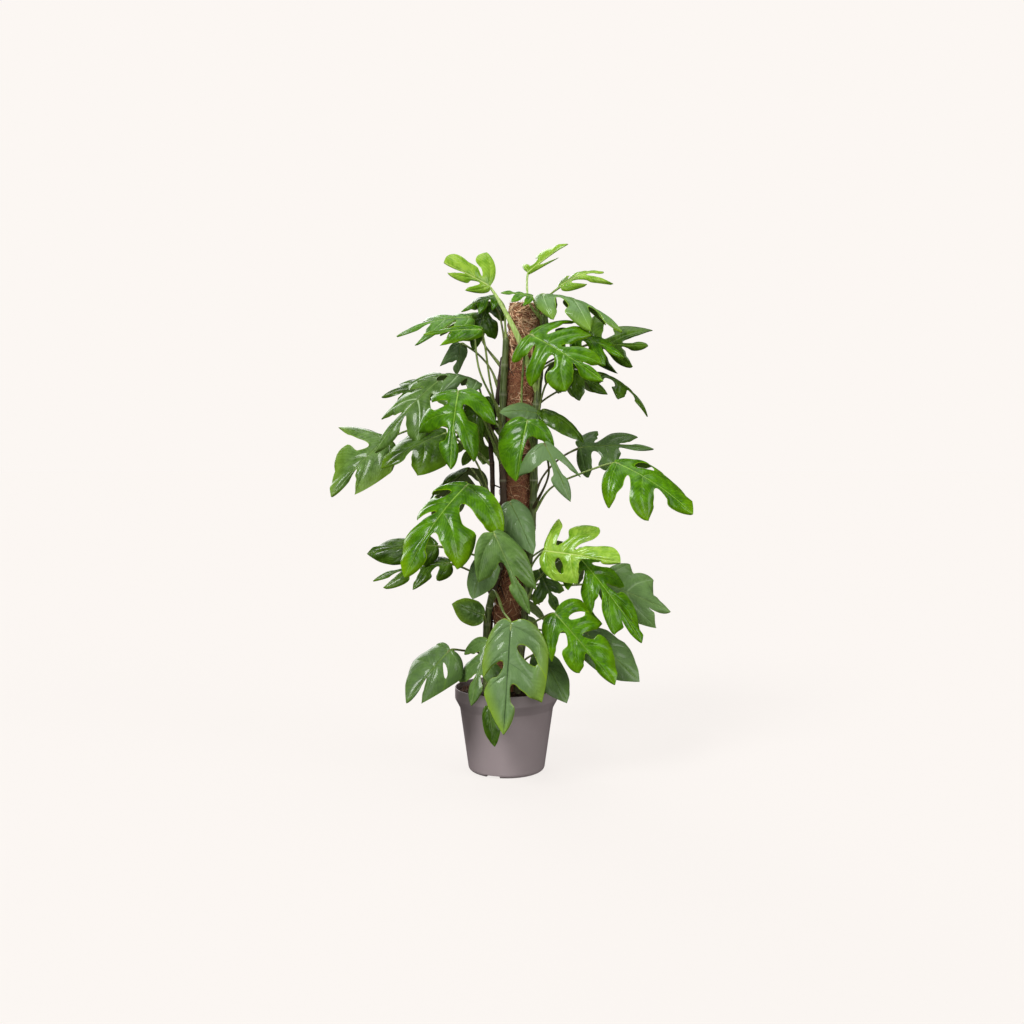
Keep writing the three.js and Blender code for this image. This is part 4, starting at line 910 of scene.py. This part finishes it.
# ---- stems and aerial roots ------------------------------------------------------------------------
STEM_STEP = 0.0022
STEM_SIDES = 20
NODE_SPACING = 0.044
ROOTS = 13  # aerial roots on each stem
ROOT_HEIGHTS = (175, 50, 30)  # in millimetres: the lowest, the step to the next and what a draw adds
ROOT_FALL = (12, 26)  # how far down a root's end lies, in millimetres: the least and what a draw adds
ROOT_REACH = (25, 55)  # how far round the pole it goes, in degrees: the same
ROOT_AGE = 0.8
NODE_WIDTH = 0.006  # half the height of a stem's swollen node, in metres
RING_WIDTH = 0.0011  # half the width of the ring round it
# How barky each stem is at a height: 0 is green and 1 is brown.
STEM_AGE = {"left": ((150, 0.4), (310, 0.35), (350, 0.9), (540, 0.9), (620, 0.35), (780, 0.15)),
            "right": ((150, 0.6), (400, 0.35), (600, 0.25), (830, 0.1)),
            "dark": ((150, 1.0), (760, 0.7)),
            "back": ((150, 0.8), (500, 0.5), (800, 0.15))}


def make_stem(name):
    """A stem with a swollen, ringed node every few centimetres."""
    radius, _ = STEMS[name]
    points = stem_points(name)
    length = np.linalg.norm(np.diff(curve_through(points, np.linspace(0, 1, 200)), axis=0), axis=1).sum()
    steps = int(length / STEM_STEP)
    shares = np.linspace(0, 1, steps)
    path = curve_through(points, shares)
    at = shares * length
    seed = list(STEMS).index(name)
    nodes = np.array([(k + 0.5 + 0.4 * (draw(seed, k) - 0.5)) * NODE_SPACING
                      for k in range(int(length / NODE_SPACING))])
    near = np.abs(at[:, None] - nodes)
    swell = np.exp(-((near / NODE_WIDTH) ** 2)).max(1)
    ring = np.exp(-((near / RING_WIDTH) ** 2)).max(1)
    bow = 0.05 * np.sin(at * 60 + seed)
    round_top = np.minimum(1, np.sqrt(np.clip((1.0005 - shares) * length / (1.2 * radius * MM), 0, 1)) + 0.05)
    radii = radius * MM * (0.96 + bow + 0.14 * swell - 0.06 * ring) * round_top
    rings, faces, caps = tube(path, radii, STEM_SIDES)
    age = np.interp(path[:, 2] / MM, *zip(*STEM_AGE[name]))
    values = np.repeat(np.stack([age, ring, 0 * age], -1), STEM_SIDES, axis=0)
    shape = Shape()
    shape.add(rings, faces, 0, {"age": values}, caps)
    old = name == "dark"
    piece = shape.build(f"climbing_{name}", [OLD_STEM if old else STEM], ["age"])
    finish_piece(piece, "old_stem" if old else "stem", f"stem_{name}")


def make_roots():
    """Aerial roots that leave the stems and cling to the pole."""
    shape = Shape()
    for seed, name in enumerate(STEMS):
        for k in range(ROOTS):
            lowest, step, more = ROOT_HEIGHTS
            height = lowest + step * k + more * draw(seed, 200 + k)
            stem = stem_at(name, height)
            centre = pole_centre(height) * MM
            angle = np.arctan2(stem[1] - centre[1], stem[0] - centre[0])
            way = 1 if draw(seed, 230 + k) > 0.5 else -1
            fall = ROOT_FALL[0] + ROOT_FALL[1] * draw(seed, 260 + k)
            reach = radians(ROOT_REACH[0] + ROOT_REACH[1] * draw(seed, 290 + k))
            path = [stem]
            for share in (0.35, 0.7, 1.0):
                turn = angle + way * reach * share
                down = np.array([0, 0, -fall * share**1.4]) * MM
                stand = (POLE_RADIUS + 1.6 - 1.2 * share) * MM
                lean = (POLE_FOOT - POLE_TOP) / (POLE_TOP[2] - POLE_FOOT[2]) * fall * share * MM * [1, 1, 0]
                path.append(centre + lean + down + stand * np.array([cos(turn), sin(turn), 0]))
            shares = np.linspace(0, 1, 16)
            radii = mix(1.5, 0.5, shares) * MM
            points, faces, _ = tube(curve_through(path, shares), radii, 7)
            shape.add(points, faces, 0, {"age": np.tile([ROOT_AGE, 0, 0], (len(points), 1))})
    finish_piece(shape.build("aerial_roots", [OLD_STEM], ["age"]), "old_stem")


# ---- coir pole -------------------------------------------------------------------------------------
POLE_LENGTH = float(np.linalg.norm(POLE_TOP - POLE_FOOT)) * MM
POLE_UP = unit(POLE_TOP - POLE_FOOT)
POLE_OUT = unit(np.cross([0, 1, 0], POLE_UP))
POLE_SIDE = np.cross(POLE_UP, POLE_OUT)
PAD_ROWS = 260
PAD_SIDES = 64
FIBRE_STEPS = 7
# The top is paler, partly as the straw colour of its frayed coir and partly as painted light where the leaves
# above shade it.
PALE_TOP_AND_PAINTED_LIGHT = (0.782, 0.812)  # from the first to the second height, in metres, the coir grows paler
# Bundles of strands: how many, the heights on the pole that they start between, how far they rise off
# it, the shortest and longest, the thinnest and thickest, their tint from dark to pale, and how far the
# loosest stands off. First the bound fibre, then loose strands, the pale top, which is partly painted
# light where the leaves shade it, and the frayed end.
BUNDLES = (
    (3000, 0.12, POLE_LENGTH - 0.05, 0, (0.016, 0.05), (0.0003, 0.0008), 0.62, 0.0022),
    (800, 0.12, POLE_LENGTH, 0, (0.02, 0.05), (0.0005, 0.0011), 0.72, 0.006),
    (700, POLE_LENGTH - 0.07, POLE_LENGTH, 0, (0.018, 0.05), (0.0006, 0.0015), 0.95, 0.006),
    (420, POLE_LENGTH - 0.026, POLE_LENGTH - 0.006, 0.006, (0.008, 0.02), (0.00025, 0.0005), 0.86, 0.0026),
)
FIBRE_TINTS = ((0.35, rgb(122, 68, 46)), (0.6, rgb(164, 104, 72)), (0.8, rgb(196, 148, 108)))
FIBRE_DARK = rgb(62, 30, 20)
FIBRE_PALE = rgb(255, 218, 176)


def on_pole(turn, height, radius):
    """Points by their turn about the pole's axis, height along it and distance from it."""
    turn, height, radius = np.broadcast_arrays(turn, height, radius)
    return (POLE_FOOT * MM + height[..., None] * POLE_UP
            + (radius * np.cos(turn))[..., None] * POLE_OUT + (radius * np.sin(turn))[..., None] * POLE_SIDE)


def lumps(turn, height):
    """How far the bound fibre stands in from the sleeve's full radius."""
    return (0.0007 * np.sin(5 * turn + height * 59) + 0.0005 * np.sin(9 * turn - height * 131 + 1)
            + 0.0004 * np.sin(3 * turn + height * 210 + 2) + 0.0011)


def coir_materials():
    """The pad of short fibre and the strands over it."""
    n = Nodes("coir")
    mats = n.noise(420.0, 4.0, 0.75, distortion=1.2)
    clods = n.noise(60.0, 3.0)
    # Paler at the top: partly straw coir and partly painted light where the leaves shade it.
    upper = n.step(n.node("ShaderNodeSeparateXYZ", {0: n.place()}).outputs[2], *PALE_TOP_AND_PAINTED_LIGHT)
    colour = n.blend(mats, rgb(70, 40, 26), rgb(198, 134, 94))
    colour = n.blend(n.times(clods, 0.5), colour, rgb(128, 80, 56))
    colour = n.blend(upper, colour, n.blend(mats, rgb(140, 78, 50), rgb(255, 200, 156)))
    pad = n.finish(Base_Color=colour, Roughness=0.95, Normal=n.bump(mats, 0.0016, 1.0))
    n = Nodes("coir_fibre")
    tint, _, _ = n.read("tint")
    ramp = n.node("ShaderNodeValToRGB", {"Fac": tint})
    ramp.color_ramp.elements[0].color = FIBRE_DARK
    ramp.color_ramp.elements[1].color = FIBRE_PALE
    for place, colour in FIBRE_TINTS:
        ramp.color_ramp.elements.new(place).color = colour
    fleck = n.noise(900.0, 2.0)
    colour = n.blend(n.times(fleck, 0.22), ramp.outputs["Color"], rgb(70, 38, 24))
    fibre = n.finish(Base_Color=colour, Roughness=0.75, Normal=n.bump(fleck, 0.0003, 0.6))
    return pad, fibre


def fibre_strands(count, low, high, rise, length, thick, tint, loose):
    """Strands that lie over the pole in all directions, or stand up where rise is over zero."""
    turn = random.uniform(0, 2 * pi, count)[:, None]
    height = random.uniform(low, high, count)[:, None]
    spread, upright = (0.22 * pi, pi / 2) if rise else (0.5 * pi, 0)
    lean = random.uniform(-1, 1, count)[:, None] * spread + upright
    reach = random.uniform(*length, count)[:, None]
    curl = random.uniform(-1.4, 1.4, count)[:, None]
    arch = random.uniform(0.0, 1.0, count)[:, None] ** 2 * loose
    t = np.linspace(0, 1, FIBRE_STEPS)[None, :]
    bearing = lean + curl * t
    turn = turn + np.cumsum(reach / FIBRE_STEPS * np.cos(bearing), 1) / (POLE_RADIUS * MM)
    height = height + np.cumsum(reach / FIBRE_STEPS * np.sin(bearing), 1)
    radius = POLE_RADIUS * MM - lumps(turn, height) + 0.0002 + arch * np.sin(pi * t) + rise * t**1.6
    radius = np.where(rise > 0, radius - random.uniform(0, 0.012, count)[:, None], radius)
    if rise == 0:
        height = np.clip(height, 0.02, POLE_LENGTH + 0.001)
    path = on_pole(turn, height, radius)
    along = unit(np.gradient(path, axis=1))
    out = unit(path - on_pole(turn, height, 0 * turn))
    side = unit(np.cross(along, out))
    out = np.cross(side, along)
    taper = 0.35 + 0.65 * np.sin(pi * (0.08 + 0.84 * t))
    width = random.uniform(*thick, count)[:, None, None] * taper[..., None]
    corners = [path + width * (cos(k) * out + sin(k) * side) for k in (pi / 2, pi * 7 / 6, pi * 11 / 6)]
    points = np.stack(corners, 2).reshape(-1, 3)
    shade = np.clip(random.normal(tint, 0.2, count), 0, 1)
    values = np.repeat(np.stack([shade, 0 * shade, 0 * shade], -1), FIBRE_STEPS * 3, axis=0)
    first = (np.arange(count) * FIBRE_STEPS * 3)[:, None]
    last = first + (FIBRE_STEPS - 1) * 3
    quads = (first[..., None] + grid_quads(FIBRE_STEPS, 3)).reshape(-1, 4)
    return points, quads, 1, {"tint": values}, np.vstack([first + [2, 1, 0], last + [0, 1, 2]])


def make_pole():
    """The coir sleeve: a lumpy pad of short fibre, with strands over it that fray out at the top."""
    pad, fibre = coir_materials()
    shape = Shape()
    height = np.linspace(0, POLE_LENGTH, PAD_ROWS)[:, None]
    turn = (np.arange(PAD_SIDES) / PAD_SIDES * 2 * pi)[None, :]
    rough = 0.0004 * random.uniform(0, 1, (PAD_ROWS, PAD_SIDES))
    radius = POLE_RADIUS * MM - lumps(turn, height) - rough
    inner = CORE_RADIUS * MM + 0.00035
    wall = [on_pole(turn, height, radius),
            on_pole(turn, POLE_LENGTH - 0.004 + 0 * turn, mix(radius[-1:], inner, 0.6)),
            on_pole(turn, POLE_LENGTH - 0.006 + 0 * turn, inner + 0 * turn),
            on_pole(turn, 0 * turn, inner + 0 * turn)]
    shape.add(np.vstack([ring.reshape(-1, 3) for ring in wall]), grid_quads(PAD_ROWS + 3, PAD_SIDES, True))
    for strands in [fibre_strands(*bundle) for bundle in BUNDLES]:
        shape.add(*strands)
    finish_piece(shape.build("coir_cover", [pad, fibre], ["tint"]), "coir", "coir_sleeve")


# ---- pot and soil ----------------------------------------------------------------------------------
def pot_side(height, inset=0.0):
    """The radius of the pot's wall at a height, in millimetres."""
    slope = (POT["neck"] - POT["foot"]) / (POT_LEDGE - POT_FOOT)
    return POT["foot"] + slope * (height - POT_FOOT) - inset


def rounded(points, radius, steps=5):
    """A profile with each inner corner turned into a small arc."""
    made = [np.array(points[0], float)]
    for before, corner, after in zip(points, points[1:], points[2:]):
        before, corner, after = (np.array(p, float) for p in (before, corner, after))
        cut = min(radius, np.linalg.norm(before - corner) / 2.2, np.linalg.norm(after - corner) / 2.2)
        one, two = corner + cut * unit(before - corner), corner + cut * unit(after - corner)
        for t in np.linspace(0, 1, steps):
            made.append((1 - t) ** 2 * one + 2 * t * (1 - t) * corner + t**2 * two)
    made.append(np.array(points[-1], float))
    return made


def turned(radius, height, sides):
    """A ring of points about the axis, in metres from millimetres."""
    turn = np.arange(sides) / sides * 2 * pi
    return np.stack([radius * np.cos(turn), radius * np.sin(turn), height + 0 * turn], -1) * MM


def lathe(name, profile, sides, material):
    """A turned mesh from [radius, height] pairs in millimetres, closed at its first and last ring."""
    rings = [turned(r, z, sides) for r, z in profile if r > 1e-6]
    shape = Shape()
    shape.add(np.vstack(rings), grid_quads(len(rings), sides), caps=end_caps(len(rings), sides))
    return shape.build(name, [material] if material else [], sharp=35)


def cut_with(piece, cutter, operation):
    """Cuts or joins the piece with another, which is used up."""
    change = piece.modifiers.new(operation, "BOOLEAN")
    change.operation = operation
    change.object = cutter
    change.solver = "EXACT"
    depsgraph = bpy.context.evaluated_depsgraph_get()
    mesh = bpy.data.meshes.new_from_object(piece.evaluated_get(depsgraph))
    piece.modifiers.clear()
    piece.data = mesh
    bpy.data.objects.remove(cutter)


def block(inner, outer, width, low, high, turn):
    """A box that runs out from near the axis, turned about it."""
    corners = [(x, y, z) for x in (inner, outer) for y in (-width / 2, width / 2) for z in (low, high)]
    spin = np.array([[cos(turn), sin(turn), 0], [-sin(turn), cos(turn), 0], [0, 0, 1]])
    shape = Shape()
    shape.add(np.array(corners) @ spin * MM, [[0, 1, 3, 2], [4, 6, 7, 5], [0, 4, 5, 1], [2, 3, 7, 6],
                                              [0, 2, 6, 4], [1, 5, 7, 3]])
    return shape.build("block", [])


def pot_material():
    """Dull plastic with dust and scuffs."""
    n = Nodes("pot_plastic")
    dust = n.noise(14.0, 5.0, 0.65)
    grain = n.noise(900.0, 2.0, 0.5)
    colour = n.blend(dust, rgb(152, 138, 140), rgb(166, 154, 155))
    scuffs = n.step(n.noise(55.0, 6.0, 0.75), 0.62, 0.8)
    colour = n.blend(n.times(scuffs, 0.3), colour, rgb(152, 144, 142))
    rough = n.times_plus(dust, 0.2, 0.34)
    return n.finish(Base_Color=colour, Roughness=rough, Normal=n.bump(grain, 0.0001, 0.5))


def make_pot():
    """The turned wall, with drain channels pressed up into its floor and a hole through each."""
    low = POT["floor"]
    foot = [[r, z] for r, z in (
        (pot_side(POT_ROUND) - POT_ROUND * (1 - sin(radians(t))), POT_ROUND * (1 - cos(radians(t))))
        for t in range(0, 91, 10))]
    lip = POT["rim"]
    outside = rounded([[pot_side(POT_ROUND), POT_ROUND], [pot_side(POT_LEDGE), POT_LEDGE], [lip, POT_BAND],
                       [lip, POT["height"]], [lip - POT["wall"], POT["height"]],
                       [lip - POT["wall"], POT_BAND], [pot_side(POT_LEDGE) - POT["wall"], POT_LEDGE],
                       [pot_side(POT_ROUND) - POT["wall"], POT_ROUND + low]], 2.4)
    inside = [[r - POT["wall"], z + low] for r, z in foot[::-1]]
    pot = lathe("nursery_pot", [*foot[:-1], *outside, *inside[1:]], POT_SIDES, pot_material())
    for k in range(CHANNEL["count"]):
        turn = radians(CHANNEL["first"] + 360 * k / CHANNEL["count"])
        wall, height = POT["wall"], CHANNEL["height"]
        reach = pot_side(POT_ROUND) - wall / 2
        roof = block(CHANNEL["inner"] - wall, reach, CHANNEL["width"] + 2 * wall, 0.5, height + low, turn)
        cut_with(roof, lathe("foot", [*foot, [foot[-1][0], height + 2 * low]], POT_SIDES, None), "INTERSECT")
        cut_with(pot, roof, "UNION")
        cut_with(pot, block(CHANNEL["inner"], POT["neck"], CHANNEL["width"], -5, height, turn), "DIFFERENCE")
        drill = [[DRAIN["radius"], -5], [DRAIN["radius"], 20]]
        hole = lathe("hole", drill, DRAIN["sides"], pot.data.materials[0])
        hole.location = (DRAIN["at"] * MM * cos(turn), DRAIN["at"] * MM * sin(turn), 0)
        bpy.context.view_layer.update()
        cut_with(pot, hole, "DIFFERENCE")
    pot.data.set_sharp_from_angle(angle=radians(35))
    finish_piece(pot, "pot", "pot")


def soil_material():
    """Dark peat, paler where tint is high, on crumbs and twigs."""
    n = Nodes("peat")
    tint, _, _ = n.read("tint")
    clods = n.noise(120.0, 6.0, 0.7)
    grit = n.noise(700.0, 3.0, 0.7)
    colour = n.blend(clods, rgb(22, 13, 9), rgb(66, 42, 29))
    colour = n.blend(n.times(tint, 0.7), colour, rgb(96, 62, 40))
    height = n.times_plus(grit, 0.4, clods)
    return n.finish(Base_Color=colour, Roughness=0.95, Normal=n.bump(height, 0.002, 1.0))


CRUMBS = 1700
TWIGS = 90
SOIL_RINGS = 48  # rings over the soil's top
CRUMB_SIZES = (0.0006, 0.0022)
TWIG_LENGTHS = (0.004, 0.014)
TWIG_RADII = (0.0003, 0.0005, 0.0003)
# The corners and facets of a crumb before its own draw of sizes.
CRUMB = unit([[0, 0, 1], [0, 0, -1], [1, 0, 0.2], [-1, 0.1, 0], [0.1, 1, -0.1], [0, -1, 0.1]])
FACETS = ((0, 2, 4), (0, 4, 3), (0, 3, 5), (0, 5, 2), (1, 4, 2), (1, 3, 4), (1, 5, 3), (1, 2, 5))


def soil_height(x, y):
    """The height of the soil's top in metres: a low mound with clods."""
    edge = (pot_side(POT_LEDGE) + 5) * MM
    share = np.minimum(np.hypot(x, y) / edge, 1)
    clods = 0.0012 * np.sin(x * 310 + 1) * np.cos(y * 270) + 0.0008 * np.sin(x * 690 + y * 410)
    return SOIL_TOP * MM + SOIL_MOUND * MM * (1 - share**2) + clods * (1 - share**6)


def drawn_spot(edge, reach):
    """A drawn place on the soil, up to a share of the way to its edge."""
    angle, share = random.uniform(0, 2 * pi), sqrt(random.uniform(0, 1)) * reach
    return edge * share * cos(angle), edge * share * sin(angle)


def make_soil():
    """The soil in the pot, with crumbs and twigs on it."""
    shape = Shape()
    inset = POT["wall"] + SOIL_GAP
    edge = POT["rim"] - inset
    rings = [(pot_side(SOIL_BOTTOM, inset) - 3, SOIL_BOTTOM), (pot_side(20, inset), 20),
             (pot_side(POT_LEDGE, inset), POT_LEDGE), (edge, POT_BAND)]
    blocks = [turned(r, z, POT_SIDES) for r, z in rings]
    edge = edge * MM
    turn = np.arange(POT_SIDES) / POT_SIDES * 2 * pi
    for share in np.linspace(1, 0.02, SOIL_RINGS):
        x, y = edge * share * np.cos(turn), edge * share * np.sin(turn)
        blocks.append(np.stack([x, y, soil_height(x, y)], -1))
    rows = len(blocks)
    tint = {"tint": np.zeros((rows * POT_SIDES, 3))}
    shape.add(np.vstack(blocks), grid_quads(rows, POT_SIDES), 0, tint, end_caps(rows, POT_SIDES))
    for _ in range(CRUMBS):
        x, y = drawn_spot(edge, 0.97)
        size = random.uniform(*CRUMB_SIZES) * (1 + random.uniform(0, 1) ** 6)
        crumb = CRUMB * random.uniform(0.6, 1.3, (6, 3)) * size + [x, y, soil_height(x, y) + size * 0.2]
        shape.add(crumb, FACETS, 0, {"tint": np.tile([random.uniform(0, 1) ** 2, 0, 0], (6, 1))})
    for _ in range(TWIGS):
        x, y = drawn_spot(edge, 0.9)
        way = random.uniform(0, 2 * pi)
        reach = random.uniform(*TWIG_LENGTHS)
        ends = [[x + s * reach * cos(way), y + s * reach * sin(way)] for s in (-0.5, 0, 0.5)]
        path = [[px, py, soil_height(px, py) + 0.0008] for px, py in ends]
        points, faces, _ = tube(path, TWIG_RADII, 5)
        shape.add(points, faces, 0, {"tint": np.tile([0.9, 0, 0], (len(points), 1))})
    finish_piece(shape.build("potting_soil", [soil_material()], ["tint"]), "soil", "soil")


def dress_core():
    """Gives the stick inside the coir, which is the frame's own piece, its wood."""
    n = Nodes("pole_stick")
    grain = n.noise(30.0, 4.0, vector=n.stretched(14, 14, 1))
    colour = n.blend(grain, rgb(120, 88, 54), rgb(176, 140, 96))
    material = n.finish(Base_Color=colour, Roughness=0.7, Normal=n.bump(grain, 0.0006, 0.7))
    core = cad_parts["pole_core"]
    core.data.materials.clear()
    core.data.materials.append(material)


# ---- camera, light and floor -----------------------------------------------------------------------
# The camera's place in metres, its pitch in degrees and its lens, worked out from the pot's ellipses.
CAMERA_PLACE = (0.010, -2.0, 0.570)
CAMERA_PITCH = 87.3
CAMERA_LENS = 38.43
BACKDROP = rgb(252, 247, 243)
FLOOR_RADIUS = 60
FLOOR_SIDES = 96
FLOOR_DROP = -0.0005  # so that it doesn't lie in the same plane as the pot's foot
FLOOR_GLOW = 0.86  # the part of the floor's brightness that no shadow takes away
AMBIENT = 0.2  # how strongly the world lights, where 1 is as bright as it shows
MIRRORED = 0.02  # how bright it is in gloss, which the lamps and not the backdrop should give
# Each lamp: the direction it stands in, its width in degrees and its power.
LAMPS = {
    "key": ((-1.2, -1.7, 1.9), 22, 2.6),
    "fill": ((1.7, -1.2, 0.9), 30, 1.0),
    "front": ((-0.3, -2.0, 0.3), 30, 0.5),
    "top": ((0.1, 0.3, 2.0), 50, 0.9),
    "back": ((-0.8, 1.8, 0.9), 40, 1.3),
}


def make_camera():
    camera = bpy.data.objects.new("camera", bpy.data.cameras.new("camera"))
    scene.collection.objects.link(camera)
    camera.location = CAMERA_PLACE
    camera.rotation_euler = (radians(CAMERA_PITCH), 0, 0)
    camera.data.lens = CAMERA_LENS
    camera.data.sensor_width = 36
    camera.data.clip_end = 100
    scene.camera = camera


def make_light():
    """Large soft lamps, far away, and a world that shows brighter than it lights."""
    for name, (place, size, power) in LAMPS.items():
        light = bpy.data.lights.new(name, "SUN")
        light.angle = radians(size)
        light.energy = power
        lamp = bpy.data.objects.new(name, light)
        lamp.rotation_euler = (-Vector(place)).to_track_quat("-Z", "Y").to_euler()
        scene.collection.objects.link(lamp)
    scene.world = bpy.data.worlds.new("studio")
    scene.world.use_nodes = True
    tree = scene.world.node_tree
    background = tree.nodes["Background"]
    background.inputs["Color"].default_value = BACKDROP
    rays = tree.nodes.new("ShaderNodeLightPath").outputs
    gloss = tree.nodes.new("ShaderNodeMapRange")
    gloss.inputs["To Min"].default_value = AMBIENT
    gloss.inputs["To Max"].default_value = MIRRORED
    strength = tree.nodes.new("ShaderNodeMapRange")
    tree.links.new(rays["Is Glossy Ray"], gloss.inputs["Value"])
    tree.links.new(rays["Is Camera Ray"], strength.inputs["Value"])
    tree.links.new(gloss.outputs["Result"], strength.inputs["To Min"])
    tree.links.new(strength.outputs["Result"], background.inputs["Strength"])


def make_floor():
    """A plain floor, as bright as the backdrop where no shadow falls on it."""
    shape = Shape()
    shape.add(turned(FLOOR_RADIUS / MM, 0, FLOOR_SIDES), [range(FLOOR_SIDES)])
    lit = AMBIENT + sum(power * unit(place)[2] / pi for place, _, power in LAMPS.values())
    n = Nodes("floor")
    dimmed = (*(c * (1 - FLOOR_GLOW) / lit for c in BACKDROP[:3]), 1)
    n.finish(Base_Color=dimmed, Emission_Color=BACKDROP, Emission_Strength=FLOOR_GLOW, Roughness=1,
             Specular_IOR_Level=0)
    floor = shape.build("floor", [n.material])
    floor.location.z = FLOOR_DROP
    floor.visible_diffuse = False
    floor.visible_glossy = False


make_camera()
make_light()
make_floor()
make_pot()
make_soil()
make_pole()
dress_core()
for stem_name in STEMS:
    make_stem(stem_name)
make_roots()
for leaf_index, leaf_row in enumerate(LEAVES):
    make_leaf(leaf_index, leaf_row)
scene.view_settings.view_transform = "Standard"
